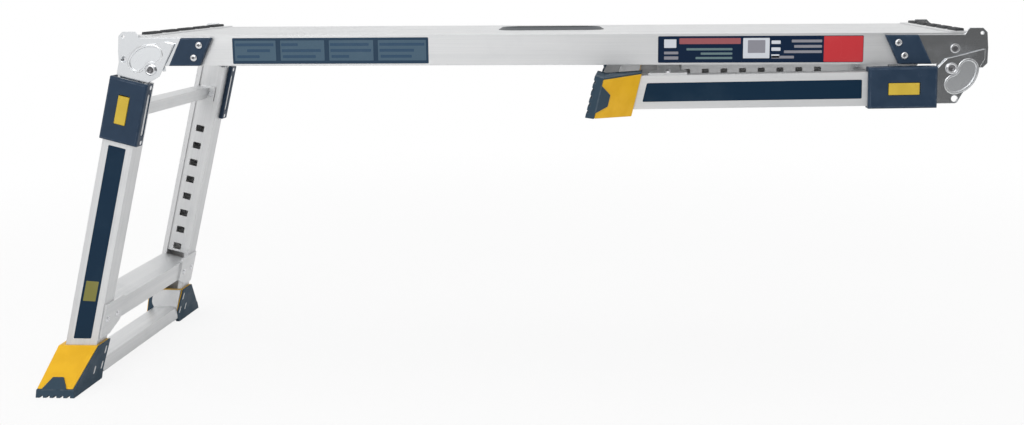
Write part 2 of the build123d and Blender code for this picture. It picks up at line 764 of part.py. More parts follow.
# Collars: plastic covers round the top of each outer rail that hold the lock lever on its pin
lever_pin_length = 2 * (half_window + lever_pin_seat)
lever_pin_v0 = leg_mid - lever_pin_length / 2
with BuildPart() as collar:
    with BuildSketch(leg_section(collar_top)):
        span(collar_v0, collar_v1, -collar_out, -cheek_in)
        span(rail_v0, rail_v1, -rail_out, -cheek_in, Mode.SUBTRACT)
    extrude(amount=collar_length)
    chamfer(collar.faces().sort_by(Axis.Y)[0].edges(), collar_bevel)
    with BuildSketch(leg_face(cavity_out)):
        span(collar_top + collar_end_wall, collar_end - collar_end_wall, rail_v0, rail_v1)
    extrude(amount=cavity_out - rail_out, mode=Mode.SUBTRACT)
    with BuildSketch(leg_face(cavity_out)):
        for side in (-1, 1):
            with Locations((lever_u, leg_mid + side * (half_window + pin_block_width / 2))):
                Rectangle(pin_block, pin_block_width)
    extrude(amount=cavity_out - rail_out)
    with BuildSketch(leg_face(collar_out)):
        span(
            button_u0 - lever_space,
            button_u1 + button_gap,
            leg_mid - half_window,
            leg_mid + half_window,
        )
    extrude(amount=collar_front, mode=Mode.SUBTRACT)
    rounds(
        leg_flank(lever_pin_v0),
        [(lever_u, -lever_depth)],
        lever_pin_radius + pin_gap,
        -lever_pin_length,
        Mode.SUBTRACT,
    )
    with BuildSketch(leg_flank(collar_v0)):
        with Locations((collar_top + collar_length / 2, -cheek_mid)):
            SlotOverall(cheek_slot_length, cheek_slot_width)
    extrude(amount=-collar_inner_skin, mode=Mode.SUBTRACT)
    for down in collar_screws:
        place = [(down, -cheek_mid)]
        rounds(leg_flank(collar_v0), place, screw_head_radius + pin_gap, -screw_head, Mode.SUBTRACT)
        rounds(leg_flank(collar_v0), place, screw_radius + pin_gap, -collar_inner_skin, Mode.SUBTRACT)
write_leg_corners(collar.part, "collar")

# Lock levers: a push button, and an arm whose tooth drops into the holes of the inner tube
with BuildPart() as lock_lever:
    with BuildSketch(leg_flank(leg_mid)):
        span(button_u0, button_u1, -collar_out - button_proud, -rail_out - lever_space)
        span(button_tail_u, button_u1, -collar_out, -rail_out - seat_gap)
    extrude(amount=half_button, both=True)
    fillet(lock_lever.faces().sort_by(Axis.Y)[0].edges(), button_edge)
    with BuildSketch(leg_flank(leg_mid)):
        span(button_u1 - lever_arm_root, arm_end, -arm_out, -arm_in)
        span(arm_end - tooth_length, arm_end, -arm_out, -tooth_depth)
    extrude(amount=lever_arm_width / 2, both=True)
    rounds(
        leg_flank(leg_mid + half_button),
        [(lever_u, -lever_depth)],
        lever_pin_radius + pin_gap,
        button_width,
        Mode.SUBTRACT,
    )
write_leg_corners(lock_lever.part, "lock_lever")

with BuildPart() as lever_springs:
    with BuildSketch(leg_face(cavity_out)):
        with Locations((spring_u, leg_mid)):
            Circle(lever_spring_radius)
            Circle(lever_spring_bore, mode=Mode.SUBTRACT)
    extrude(amount=cavity_out - arm_out)
    mirror(about=Plane.XZ)
write_leg_pair(lever_springs.part, "lever_springs")

# Lower crossbars: a box tube between the outer rails with a gusset at each end
gusset_in = rail_in - gusset_span
bar_rivet = (lower_bar_u + gusset_rivet_u, gusset_in + gusset_span / 2)
lower_bar_end = lower_bar_u + lower_bar_tall
with BuildPart() as lower_crossbar:
    with BuildSketch(leg_face(rail_in)):
        span(lower_bar_u, lower_bar_end, rail_v0, rail_v0 + lower_bar_wide)
        span(
            lower_bar_u + lower_bar_wall,
            lower_bar_end - lower_bar_wall,
            rail_v0 + lower_bar_wall,
            rail_v0 + lower_bar_wide - lower_bar_wall,
            Mode.SUBTRACT,
        )
    extrude(amount=rail_in)
    with BuildSketch(leg_flank(rail_v0)):
        with BuildLine():
            Polyline(
                (lower_bar_u - gusset_lead, -rail_in - gusset_lap),
                (lower_bar_u - gusset_lead, -gusset_in),
                (lower_bar_end, -gusset_in),
                (lower_bar_end + gusset_tail, -rail_in),
                (lower_bar_end + gusset_tail, -rail_in - gusset_lap),
                close=True,
            )
        make_face()
    extrude(amount=gusset_sheet)
    places = [(down, -depth) for down, depth in (gusset_rivet, bar_rivet)]
    rounds(leg_flank(rail_v0 - gusset_sheet), places, rivet_radius + pin_gap, -gusset_sheet, Mode.SUBTRACT)
    rounds(leg_flank(rail_v0), places[1:], rivet_radius + pin_gap, -lower_bar_wall, Mode.SUBTRACT)
    mirror(about=Plane.XZ)
write_leg_pair(lower_crossbar.part, "lower_crossbar")

# Bottom bars: a box tube between the feet, welded to a plate on the inner side of each foot
bar_x0 = sole_x0 + bottom_bar_inset
bar_x1 = bar_x0 + bottom_bar_wide
bar_top = bottom_bar_low + bottom_bar_tall
bar_plate_low = sole_tall + bar_plate_gap
bar_plate_top = shell_top - bar_plate_gap
bar_plate_x1 = leg_edge_x(rail_v1, bar_plate_turn)
with BuildPart() as bottom_bar:
    with BuildSketch(deck_face(shell_in)):
        span(bar_x0, bar_x1, bottom_bar_low, bar_top)
        span(
            bar_x0 + bottom_bar_wall,
            bar_x1 - bottom_bar_wall,
            bottom_bar_low + bottom_bar_wall,
            bar_top - bottom_bar_wall,
            Mode.SUBTRACT,
        )
    extrude(amount=shell_in)
    with BuildSketch(deck_face(shell_in)) as end_plate:
        with BuildLine():
            Polyline(
                (leg_edge_x(rail_v0, bar_plate_low), bar_plate_low),
                (leg_edge_x(rail_v0, bar_plate_top), bar_plate_top),
                (leg_edge_x(rail_v1, bar_plate_top), bar_plate_top),
                (bar_plate_x1, bar_plate_turn),
                (bar_plate_x1 - bar_plate_cut, bar_plate_low),
                close=True,
            )
        make_face()
        fillet(end_plate.vertices().sort_by(Axis.X)[-1], bar_plate_corner)
    extrude(amount=bar_plate)
    mirror(about=Plane.XZ)
write_leg_pair(bottom_bar.part, "bottom_bar")

# Foot shells: plastic boots over the lower ends of the outer rails, spread outwards at the floor
shell_v0 = rail_v0 - side_wall
shell_v1 = rail_v1 + shell_back
with BuildPart() as foot_shell:
    with BuildSketch(level(sole_tall)):
        span(leg_edge_x(shell_v0, sole_tall) + side_wall, sole_x1 - sole_inset, shell_in, toe_out)
    with BuildSketch(level(shell_top)):
        span(leg_edge_x(shell_v0, shell_top), leg_edge_x(shell_v1, shell_top), shell_in, shell_out)
    loft(ruled=True)
    with BuildSketch(leg_section(lower_bar_u)):
        span(rail_v0, rail_v1, -rail_out, -rail_in)
    extrude(amount=rail_end - lower_bar_u, mode=Mode.SUBTRACT)
write_leg_corners(foot_shell.part, "foot_shell")

# Foot pads: grooved rubber soles with a slotted side wall and a raised toe
pad_x0 = leg_edge_x(shell_v0, sole_tall)
wall_x1 = leg_edge_x(shell_v0, shell_top) - side_wall_gap
toe_rise = shell_top - sole_tall
toe_run = toe_out - shell_out
toe_x = (pad_x0 + side_wall + sole_x1 - sole_inset) / 2
toe_plane = Plane(
    origin=(deck_mid_x - toe_x, -toe_out, sole_tall),
    x_dir=(-1, 0, 0),
    z_dir=(0, toe_rise, -toe_run),
)
slot_high_u = (pivot_z - shell_top) * tilt_cos + (wall_x1 - pivot_x) * tilt_sin + side_slot_high
slot_low_u = (pivot_z - sole_tall) * tilt_cos + (pad_x0 - pivot_x) * tilt_sin - side_slot_low
slot_y = -shell_in - side_slot_in
with BuildPart() as foot_pad:
    with BuildSketch(level(0)):
        span(sole_x0, sole_x1, shell_in + sole_undercut, sole_out)
    with BuildSketch(level(sole_tall)):
        span(pad_x0, sole_x1 - sole_inset, shell_in, sole_out - sole_flare)
    loft(ruled=True)
    with BuildSketch(level(sole_tall)):
        span(pad_x0, pad_x0 + side_wall - side_wall_gap, shell_in, toe_out)
    with BuildSketch(level(shell_top)):
        span(wall_x1 - side_wall, wall_x1, shell_in, rail_out)
    loft(ruled=True)
    with BuildSketch(toe_plane):
        with BuildLine():
            Polyline(
                (-hump_base / 2, -sole_flare),
                (hump_base / 2, -sole_flare),
                (hump_base / 2, 0),
                (hump_top / 2, hump_height),
                (-hump_top / 2, hump_height),
                (-hump_base / 2, 0),
                close=True,
            )
        make_face()
    extrude(amount=-hump_build)
    with BuildSketch(level(0)):
        with Locations(((sole_x0 + sole_x1) / 2, (shell_in + sole_out) / 2)):
            with GridLocations(sole_groove_pitch, 1, sole_groove_count, 1):
                Rectangle(sole_groove_width, 2 * sole_reach)
    extrude(amount=sole_groove_depth, mode=Mode.SUBTRACT)
    with BuildSketch(leg_flank(shell_v0 - 2 * side_wall)):
        with Locations(
            (slot_high_u, slot_y),
            (slot_low_u, slot_y),
            (slot_low_u, slot_y - side_slot_step),
        ):
            SlotOverall(side_slot_length, side_slot_width)
    extrude(amount=-4 * side_wall, mode=Mode.SUBTRACT)
write_leg_corners(foot_pad.part, "foot_pad")

# Fasteners of the sliding part of each leg frame: lever pins, collar screws and gusset rivets
screw_places = [(down, -cheek_mid) for down in collar_screws]
gusset_rivets = [(down, -depth) for down, depth in (gusset_rivet, bar_rivet)]
gusset_face = leg_flank(rail_v0 - gusset_sheet)
with BuildPart() as lower_fasteners:
    rounds(leg_flank(lever_pin_v0), [(lever_u, -lever_depth)], lever_pin_radius, -lever_pin_length)
    rounds(leg_flank(collar_v0), screw_places, screw_radius, -collar_inner_skin - rail_sheet)
    rounds(leg_flank(collar_v0), screw_places, screw_head_radius, -screw_head)
    rounds(gusset_face, gusset_rivets, rivet_radius, -gusset_sheet - rail_sheet)
    rounds(gusset_face, gusset_rivets, rivet_head_radius, rivet_head, taper=rivet_taper)
    mirror(about=Plane.XZ)
write_leg_pair(lower_fasteners.part, "lower_fasteners")
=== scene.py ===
"""Dressed scene of a folding work platform, with one leg frame open and the other folded under the deck.

Lengths are in metres, colours in linear light, and scales of patterns in features per metre.
"""

import json
import logging
import math
from dataclasses import dataclass, field, replace
from enum import Enum
from functools import cache, reduce
from itertools import pairwise, product
from typing import Any, Mapping, Optional, Sequence

import bmesh
import bpy
from bmesh.types import BMesh, BMFace
from bpy.types import ID, Material, Node, NodeOutputs, NodeSocket, NodeTree, Object
from mathutils import Matrix, Vector

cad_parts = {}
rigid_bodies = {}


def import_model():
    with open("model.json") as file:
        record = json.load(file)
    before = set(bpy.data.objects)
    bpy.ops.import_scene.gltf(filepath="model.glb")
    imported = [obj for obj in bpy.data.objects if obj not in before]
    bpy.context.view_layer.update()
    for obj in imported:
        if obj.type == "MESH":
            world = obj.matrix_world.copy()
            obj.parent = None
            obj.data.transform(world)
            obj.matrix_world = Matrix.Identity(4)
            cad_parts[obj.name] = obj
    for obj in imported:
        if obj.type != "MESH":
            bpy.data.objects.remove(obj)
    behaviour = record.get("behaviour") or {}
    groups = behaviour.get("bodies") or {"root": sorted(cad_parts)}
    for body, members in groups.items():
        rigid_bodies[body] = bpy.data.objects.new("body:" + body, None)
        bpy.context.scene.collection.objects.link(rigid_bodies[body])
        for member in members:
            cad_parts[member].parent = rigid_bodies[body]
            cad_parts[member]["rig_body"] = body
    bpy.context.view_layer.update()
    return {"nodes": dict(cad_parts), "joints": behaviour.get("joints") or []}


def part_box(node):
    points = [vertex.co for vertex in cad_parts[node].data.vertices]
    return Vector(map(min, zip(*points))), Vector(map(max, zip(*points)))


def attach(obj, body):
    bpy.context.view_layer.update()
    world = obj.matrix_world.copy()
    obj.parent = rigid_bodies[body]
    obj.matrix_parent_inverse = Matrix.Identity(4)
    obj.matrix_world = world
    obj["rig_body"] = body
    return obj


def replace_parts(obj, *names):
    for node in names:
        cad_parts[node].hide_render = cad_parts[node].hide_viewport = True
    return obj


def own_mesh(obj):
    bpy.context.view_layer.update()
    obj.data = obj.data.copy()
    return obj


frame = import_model()

log = logging.getLogger("work_platform")

Colour = tuple[float, float, float, float]
Triple = tuple[float, float, float]

Y_AXIS = Vector((0.0, 1.0, 0.0))
Z_AXIS = Vector((0.0, 0.0, 1.0))
# Corners closer than this are one
SAME_POINT = 2e-6
# Depth of the finest relief
FINE_RELIEF = 0.0002
# Change of roughness in a scratch
SCRATCH_POLISH = -0.08


class Row(Enum):
    """The two rows of legs."""

    FRONT = "front"
    REAR = "rear"

    @property
    def outwards(self) -> float:
        """Sign of Y on the row's outer side."""
        return -1.0 if self is Row.FRONT else 1.0


class Side(Enum):
    """The two leg frames."""

    LEFT = "left"
    RIGHT = "right"

    @property
    def outwards(self) -> float:
        """Sign of X on the frame's outer side."""
        return -1.0 if self is Side.LEFT else 1.0


class Grain(Enum):
    """Directions in which metal was drawn or brushed, as turns from the deck's length."""

    DECK = 0.0
    LEFT_LEG = math.radians(75.7)
    RIGHT_LEG = math.radians(-0.85)
    ACROSS = math.radians(90.0)

    @property
    def rotation(self) -> Triple:
        """The turn as angles, about Z for bars across the deck and otherwise about Y."""
        return (0.0, 0.0, self.value) if self is Grain.ACROSS else (0.0, self.value, 0.0)


def rgb(red: float, green: float, blue: float) -> Colour:
    """Opaque colour in linear light."""
    return (red, green, blue, 1.0)


class Graph:
    """Nodes of one shader tree, with short ways to add and join them."""

    def __init__(self, tree: NodeTree) -> None:
        """Keep the tree that the nodes go into."""
        self.tree = tree

    @classmethod
    def blank(cls, owner: ID) -> "Graph":
        """Clear a material or world of nodes.

        Args:
            owner: The material or world.

        Returns:
            The graph of its empty tree.
        """
        owner.use_nodes = True
        owner.node_tree.nodes.clear()
        return cls(owner.node_tree)

    def fill(self, node: Node, inputs: Mapping[Any, Any]) -> Node:
        """Set or link a node's inputs.

        Args:
            node: The node to fill.
            inputs: Socket name or index, with a value or an output socket to link.

        Returns:
            The same node.
        """
        for key, value in inputs.items():
            if isinstance(value, NodeSocket):
                self.tree.links.new(value, node.inputs[key])
            else:
                node.inputs[key].default_value = value
        return node

    def node(self, kind: str, inputs: Optional[Mapping[Any, Any]] = None, **settings: Any) -> Node:
        """Add a node.

        Args:
            kind: Blender's node type without the words ShaderNode.
            inputs: Values or links for its input sockets.
            settings: Properties of the node itself.

        Returns:
            The new node.
        """
        made = self.tree.nodes.new(f"ShaderNode{kind}")
        for name, value in settings.items():
            setattr(made, name, value)
        return self.fill(made, inputs or {})

    def effect(self, group: NodeTree, **inputs: Any) -> NodeOutputs:
        """Outputs of a shared node group, placed with its own inputs."""
        return self.node("Group", inputs, node_tree=group).outputs

    def maths(self, operation: str, first: Any, second: Any = 0.0) -> NodeSocket:
        """Result of one calculation on two numbers."""
        return self.node("Math", {0: first, 1: second}, operation=operation).outputs[0]

    def total(self, *parts: tuple[Any, float]) -> NodeSocket:
        """Sum of numbers, each times its weight."""
        shares = [self.maths("MULTIPLY", number, weight) for number, weight in parts]
        return reduce(lambda first, second: self.maths("ADD", first, second), shares)

    def scaled(self, first: Any, second: Any) -> NodeSocket:
        """One vector times another, part by part."""
        return self.node("VectorMath", {0: first, 1: second}, operation="MULTIPLY").outputs[0]

    def dot(self, first: Any, second: Any) -> NodeSocket:
        """Dot product of two vectors."""
        return self.node("VectorMath", {0: first, 1: second}, operation="DOT_PRODUCT").outputs["Value"]

    def spread(
        self, value: Any, low: float, high: float, to_low: float = 0.0, to_high: float = 1.0
    ) -> NodeSocket:
        """A number moved smoothly from one range to another, and held within it."""
        inputs = {"Value": value, "From Min": low, "From Max": high, "To Min": to_low, "To Max": to_high}
        return self.node("MapRange", inputs, interpolation_type="SMOOTHSTEP").outputs[0]

    def blend(self, share: Any, first: Any, second: Any) -> NodeSocket:
        """Colour between two colours."""
        return self.node("Mix", {0: share, 6: first, 7: second}, data_type="RGBA").outputs[2]

    def noise(self, place: Any, scale: Any, detail: float, roughness: float = 0.5) -> NodeSocket:
        """Plain noise of some octaves, about 0.5 on average."""
        inputs = {"Vector": place, "Scale": scale, "Detail": detail, "Roughness": roughness}
        return self.node("TexNoise", inputs).outputs["Fac"]

    def broken(self, place: Any, scale: float) -> NodeSocket:
        """Mask of ragged patches, mostly 0 or 1."""
        return self.spread(self.noise(place, scale, 4.0, 0.6), 0.38, 0.62)

    def place(self, grain: Grain = Grain.DECK) -> NodeSocket:
        """Place on the piece, with X turned along the grain."""
        coordinates = self.node("TexCoord").outputs["Object"]
        return self.node("Mapping", {"Vector": coordinates, "Rotation": grain.rotation}).outputs[0]

    def seen(self) -> tuple[NodeSocket, NodeSocket]:
        """Tell kinds of rays apart.

        Returns:
            Masks of what the camera sees, also through glass, and of what gloss mirrors.
        """
        rays = self.node("LightPath").outputs
        seen = self.maths("MAXIMUM", rays["Is Camera Ray"], rays["Is Transmission Ray"])
        return seen, rays["Is Glossy Ray"]

    def bump(self, height: Any, strength: float, depth: float, **smooth: Any) -> NodeSocket:
        """Normal of a surface with small relief, over a smooth Normal if one is given."""
        inputs = {"Height": height, "Strength": strength, "Distance": depth}
        return self.node("Bump", inputs | smooth).outputs[0]

    def surface(self, colour: Any, gloss: Any, normal: Any, constants: Mapping[str, float]) -> None:
        """Add the Principled shader and the material's output.

        Args:
            colour: Base colour.
            gloss: Roughness.
            normal: Normal with its relief.
            constants: Values of other sockets, the same all over the surface.
        """
        varied = {"Base Color": colour, "Roughness": gloss, "Normal": normal}
        shader = self.node("BsdfPrincipled", varied | constants)
        self.node("OutputMaterial", {"Surface": shader.outputs[0]})


class Effects:
    """Shader node groups that several finishes share, each built once."""

    @staticmethod
    def start(name: str, *numbers: str) -> tuple[Graph, NodeOutputs]:
        """Begin a node group that takes a place and some numbers.

        Args:
            name: The group's name.
            numbers: Names of the numbers.

        Returns:
            The group's graph, and the sockets that give its inputs.
        """
        tree = bpy.data.node_groups.new(name, "ShaderNodeTree")
        tree.interface.new_socket(name="Vector", in_out="INPUT", socket_type="NodeSocketVector")
        for number in numbers:
            tree.interface.new_socket(name=number, in_out="INPUT", socket_type="NodeSocketFloat")
        return Graph(tree), tree.nodes.new("NodeGroupInput").outputs

    @staticmethod
    def end(graph: Graph, **outputs: NodeSocket) -> NodeTree:
        """Give a node group its outputs.

        Args:
            graph: The group's graph.
            outputs: The sockets that feed its outputs, by the outputs' names.

        Returns:
            The group's tree.
        """
        for name, socket in outputs.items():
            kind = "NodeSocketVector" if socket.type == "VECTOR" else "NodeSocketFloat"
            graph.tree.interface.new_socket(name=name, in_out="OUTPUT", socket_type=kind)
        graph.fill(graph.tree.nodes.new("NodeGroupOutput"), outputs)
        return graph.tree

    @classmethod
    @cache
    def drawn_lines(cls) -> NodeTree:
        """Fine lines and broad streaks along X, as drawing through a die leaves them.

        Returns:
            The node group.
        """
        graph, given = cls.start("drawn_lines", "Along", "Across")
        scale = graph.node("CombineXYZ", {"X": given["Along"], "Y": given["Across"], "Z": given["Across"]})
        fine = graph.scaled(given["Vector"], scale.outputs[0])
        broad = graph.scaled(fine, (0.35, 0.06, 0.06))
        lines = graph.spread(graph.noise(fine, 1.0, 3.0, 0.65), 0.3, 0.7)
        streaks = graph.spread(graph.noise(broad, 1.0, 2.0), 0.35, 0.65)
        return cls.end(graph, Lines=lines, Streaks=streaks)

    @classmethod
    @cache
    def handling_marks(cls) -> NodeTree:
        """Dull patches from hands and boots, and thin stray scratches.

        Returns:
            The node group.
        """
        graph, given = cls.start("handling_marks", "Scale")
        place, scale = given["Vector"], given["Scale"]
        patches = graph.spread(graph.noise(place, scale, 5.0, 0.62), 0.48, 0.72)
        drift = graph.noise(place, graph.maths("MULTIPLY", scale, 2.3), 1.0, 0.4)
        band = graph.maths("ABSOLUTE", graph.maths("SUBTRACT", drift, 0.5))
        thin = graph.spread(band, 0.0, 0.004, 1.0, 0.0)
        gate = graph.spread(graph.noise(place, 37.0, 2.0), 0.52, 0.66)
        return cls.end(graph, Patches=patches, Scratches=graph.maths("MULTIPLY", thin, gate))

    @classmethod
    @cache
    def softened_edges(cls) -> NodeTree:
        """Rounded normals at edges, and a mask of edges painted paler as wear and a painted highlight.

        Returns:
            The node group.
        """
        graph, given = cls.start("softened_edges", "Radius")
        soft = graph.node("Bevel", {"Radius": given["Radius"]}, samples=6).outputs[0]
        flat = graph.node("NewGeometry").outputs["Normal"]
        ridge = graph.spread(graph.maths("SUBTRACT", 1.0, graph.dot(soft, flat)), 0.02, 0.22)
        # Ragged mask along edges, for wear and a painted highlight
        rub_and_highlight = graph.maths("MULTIPLY", ridge, graph.broken(given["Vector"], 60.0))
        return cls.end(graph, Rub=rub_and_highlight, Normal=soft)

    @classmethod
    @cache
    def moulded_skin(cls) -> NodeTree:
        """Fine pebbled grain of a mould, and slow mottling of its colour.

        Returns:
            The node group.
        """
        graph, given = cls.start("moulded_skin", "Scale")
        place, scale = given["Vector"], given["Scale"]
        cells = graph.node("TexVoronoi", {"Vector": place, "Scale": scale}).outputs["Distance"]
        fuzz = graph.noise(place, graph.maths("MULTIPLY", scale, 1.7), 3.0, 0.6)
        mottle = graph.noise(place, graph.maths("MULTIPLY", scale, 0.03), 4.0, 0.55)
        pebbles = graph.total((cells, 0.6), (fuzz, 0.5))
        return cls.end(graph, Pebbles=pebbles, Mottle=graph.spread(mottle, 0.35, 0.68))


@dataclass(frozen=True)
class Finish:
    """A surface finish that can make its own material."""

    name: str
    worn_and_highlit: bool = field(default=False, kw_only=True)

    def shade(self, graph: Graph) -> None:
        """Lay out the finish's nodes."""
        raise NotImplementedError

    def at_edges(self) -> "Finish":
        """The same finish for rounded edges, paler where hands and tools have rubbed it and with a painted
        highlight.
        """
        return replace(self, name=f"{self.name}_edges", worn_and_highlit=True)

    @cache
    def material(self) -> Material:
        """Build the finish's material, on first use.

        Returns:
            The material.
        """
        made = bpy.data.materials.new(self.name)
        self.shade(Graph.blank(made))
        return made


@dataclass(frozen=True)
class DrawnMetal(Finish):
    """Extruded or rolled metal with lines along its length."""

    grain: Grain
    smooth: float = 0.38
    coarse: float = 0.48
    metallic: float = 0.9
    bright: Colour = rgb(0.76, 0.765, 0.77)
    dull: Colour = rgb(0.63, 0.64, 0.65)
    wear_and_highlight: Colour = rgb(0.9, 0.9, 0.9)
    along: float = 5.0
    across: float = 1100.0
    marks: float = 9.0
    edge: float = 0.0008
    tones: Triple = (0.25, 0.35, 0.3)
    rub_and_highlight: float = 0.5
    dulling: float = 0.07
    relief: float = 0.05

    def shade(self, graph: Graph) -> None:
        """Lines in colour, gloss and relief, with handling marks, and edges painted paler as wear and a
        painted highlight.

        Args:
            graph: The material's empty graph.
        """
        place = graph.place(self.grain)
        drawn = graph.effect(Effects.drawn_lines(), Vector=place, Along=self.along, Across=self.across)
        marks = graph.effect(Effects.handling_marks(), Vector=place, Scale=self.marks)
        edges = graph.effect(Effects.softened_edges(), Vector=place, Radius=self.edge)
        tone = graph.total(*zip((drawn["Lines"], drawn["Streaks"], marks["Patches"]), self.tones))
        colour = graph.blend(tone, self.bright, self.dull)
        # Edges painted towards near-white: partly wear, partly a painted highlight
        colour = graph.blend(graph.maths("MULTIPLY", edges["Rub"], self.rub_and_highlight), colour, self.wear_and_highlight)
        gloss = graph.spread(drawn["Lines"], 0.0, 1.0, self.smooth, self.coarse)
        changes = (marks["Patches"], self.dulling), (marks["Scratches"], SCRATCH_POLISH)
        relief = graph.maths("SUBTRACT", drawn["Lines"], marks["Scratches"])
        normal = graph.bump(relief, self.relief, FINE_RELIEF, Normal=edges["Normal"])
        graph.surface(colour, graph.total((gloss, 1.0), *changes), normal, {"Metallic": self.metallic})


@dataclass(frozen=True)
class PlatedSteel(Finish):
    """Zinc-plated steel, with a faint crystal pattern."""

    bright: Colour
    dull: Colour
    smooth: float
    coarse: float
    relief: float = 0.06
    wear_and_highlight: Colour = rgb(0.86, 0.87, 0.88)
    crystals: float = 420.0
    marks: float = 22.0
    scuffs_and_highlight: float = 140.0
    pores: float = 900.0
    tones: tuple[float, float] = (0.25, 0.6)

    def shade(self, graph: Graph) -> None:
        """Crystals and patches in colour and gloss, brighter at edges with wear and a painted highlight.

        Args:
            graph: The material's empty graph.
        """
        place = graph.place()
        crystals = graph.node("TexVoronoi", {"Vector": place, "Scale": self.crystals}).outputs["Color"]
        tint = graph.node("SeparateColor", {"Color": crystals}).outputs[0]
        marks = graph.effect(Effects.handling_marks(), Vector=place, Scale=self.marks)
        tone = graph.total(*zip((tint, marks["Patches"]), self.tones))
        colour = graph.blend(tone, self.bright, self.dull)
        # Ragged edge patches painted near-white: wear and a painted highlight
        if self.worn_and_highlit:
            colour = graph.blend(graph.broken(place, self.scuffs_and_highlight), colour, self.wear_and_highlight)
        gloss = graph.spread(tone, 0.0, sum(self.tones), self.smooth, self.coarse)
        gloss = graph.total((gloss, 1.0), (marks["Scratches"], SCRATCH_POLISH))
        relief = graph.maths("SUBTRACT", graph.noise(place, self.pores, 2.0), marks["Scratches"])
        normal = graph.bump(relief, self.relief, FINE_RELIEF)
        graph.surface(colour, gloss, normal, {"Metallic": 1.0})


@dataclass(frozen=True)
class Moulding(Finish):
    """Moulded plastic or rubber with a pebbled skin."""

    colour: Colour
    mottled: Colour
    wear_and_highlight: Colour
    smooth: float = 0.40
    coarse: float = 0.54
    pebbles: float = 1500.0
    relief: float = 0.16
    rub_and_highlight: float = 0.45
    scratched: float = 0.35
    shine: float = 0.3
    marks: float = 26.0
    scuffs_and_highlight: float = 110.0
    dulling: float = 0.08
    depth: float = 0.0003

    def shade(self, graph: Graph) -> None:
        """Mottled colour and pebbled relief, paler at scratches, and at edges with wear and a painted
        highlight.

        Args:
            graph: The material's empty graph.
        """
        place = graph.place()
        skin = graph.effect(Effects.moulded_skin(), Vector=place, Scale=self.pebbles)
        marks = graph.effect(Effects.handling_marks(), Vector=place, Scale=self.marks)
        colour = graph.blend(skin["Mottle"], self.colour, self.mottled)
        # Scratches are wear; on edges the paler patches are wear and a painted highlight
        scuffs_and_highlight = graph.broken(place, self.scuffs_and_highlight) if self.worn_and_highlit else marks["Scratches"]
        scuffs_and_highlight = graph.maths("MULTIPLY", scuffs_and_highlight, self.rub_and_highlight if self.worn_and_highlit else self.scratched * self.rub_and_highlight)
        colour = graph.blend(scuffs_and_highlight, colour, self.wear_and_highlight)
        gloss = graph.spread(skin["Mottle"], 0.0, 1.0, self.smooth, self.coarse)
        gloss = graph.total((gloss, 1.0), (marks["Patches"], self.dulling))
        normal = graph.bump(skin["Pebbles"], self.relief, self.depth)
        graph.surface(colour, gloss, normal, {"Specular IOR Level": self.shine})


@dataclass(frozen=True)
class Film(Finish):
    """Printed vinyl film, slightly orange-peeled over the metal below."""

    colour: Colour
    faded: Colour
    shine: float = 0.25
    smooth: float = 0.30
    coarse: float = 0.42
    marks: float = 14.0
    fades: tuple[float, float] = (0.7, 0.6)
    peel: float = 480.0
    relief: float = 0.05

    def shade(self, graph: Graph) -> None:
        """Slow fading, scratches and a faint peel in the gloss.

        Args:
            graph: The material's empty graph.
        """
        place = graph.place()
        marks = graph.effect(Effects.handling_marks(), Vector=place, Scale=self.marks)
        fade = graph.total(*zip((marks["Patches"], marks["Scratches"]), self.fades))
        colour = graph.blend(fade, self.colour, self.faded)
        gloss = graph.spread(marks["Patches"], 0.0, 1.0, self.smooth, self.coarse)
        normal = graph.bump(graph.noise(place, self.peel, 2.0), self.relief, FINE_RELIEF)
        graph.surface(colour, gloss, normal, {"Specular IOR Level": self.shine})


DECK_METAL = DrawnMetal("deck_aluminium", Grain.DECK)
CROSS_METAL = DrawnMetal("crossbar_aluminium", Grain.ACROSS)
LEG_METAL = {
    Side.LEFT: DrawnMetal("left_leg_aluminium", Grain.LEFT_LEG, 0.46, 0.56, 0.8),
    Side.RIGHT: DrawnMetal("right_leg_aluminium", Grain.RIGHT_LEG, 0.46, 0.56, 0.8),
}
HINGE_STEEL = PlatedSteel("pressed_steel", rgb(0.79, 0.81, 0.83), rgb(0.70, 0.72, 0.75), 0.16, 0.24)
ZINC = PlatedSteel("zinc_fastener", rgb(0.80, 0.81, 0.83), rgb(0.64, 0.65, 0.67), 0.18, 0.28)
# Its dark colour is painted shade, for the pockets of fastener heads
POCKET_SHADE_STEEL = PlatedSteel("pocket_shade_steel", rgb(0.20, 0.20, 0.21), rgb(0.12, 0.12, 0.13), 0.34, 0.46)
SPRING_STEEL = PlatedSteel("spring_wire", rgb(0.55, 0.56, 0.58), rgb(0.36, 0.37, 0.39), 0.20, 0.32)
DISH_STEEL = PlatedSteel("burnished_steel", rgb(0.76, 0.78, 0.80), rgb(0.73, 0.75, 0.77), 0.31, 0.31, 0.01)
# The third colour of each moulding paints scratches, and edges as wear and a painted highlight
NAVY = Moulding("navy_moulding", rgb(0.011, 0.031, 0.064), rgb(0.015, 0.037, 0.073), rgb(0.06, 0.09, 0.14))
SLATE = Moulding("slate_moulding", rgb(0.090, 0.100, 0.108), rgb(0.110, 0.120, 0.128), rgb(0.24, 0.25, 0.26))
YELLOW = Moulding(
    "yellow_moulding", rgb(0.84, 0.470, 0.010), rgb(0.79, 0.430, 0.008), rgb(0.90, 0.62, 0.14), rub_and_highlight=0.3
)
LEVER_YELLOW = Moulding(
    "lever_moulding", rgb(0.62, 0.440, 0.050), rgb(0.56, 0.390, 0.040), rgb(0.74, 0.60, 0.20), rub_and_highlight=0.3
)
FOOT_RUBBER = Moulding(
    "foot_moulding", rgb(0.024, 0.052, 0.082), rgb(0.032, 0.062, 0.092), rgb(0.10, 0.13, 0.16),
    0.55, 0.70, 1100.0, 0.26,
)
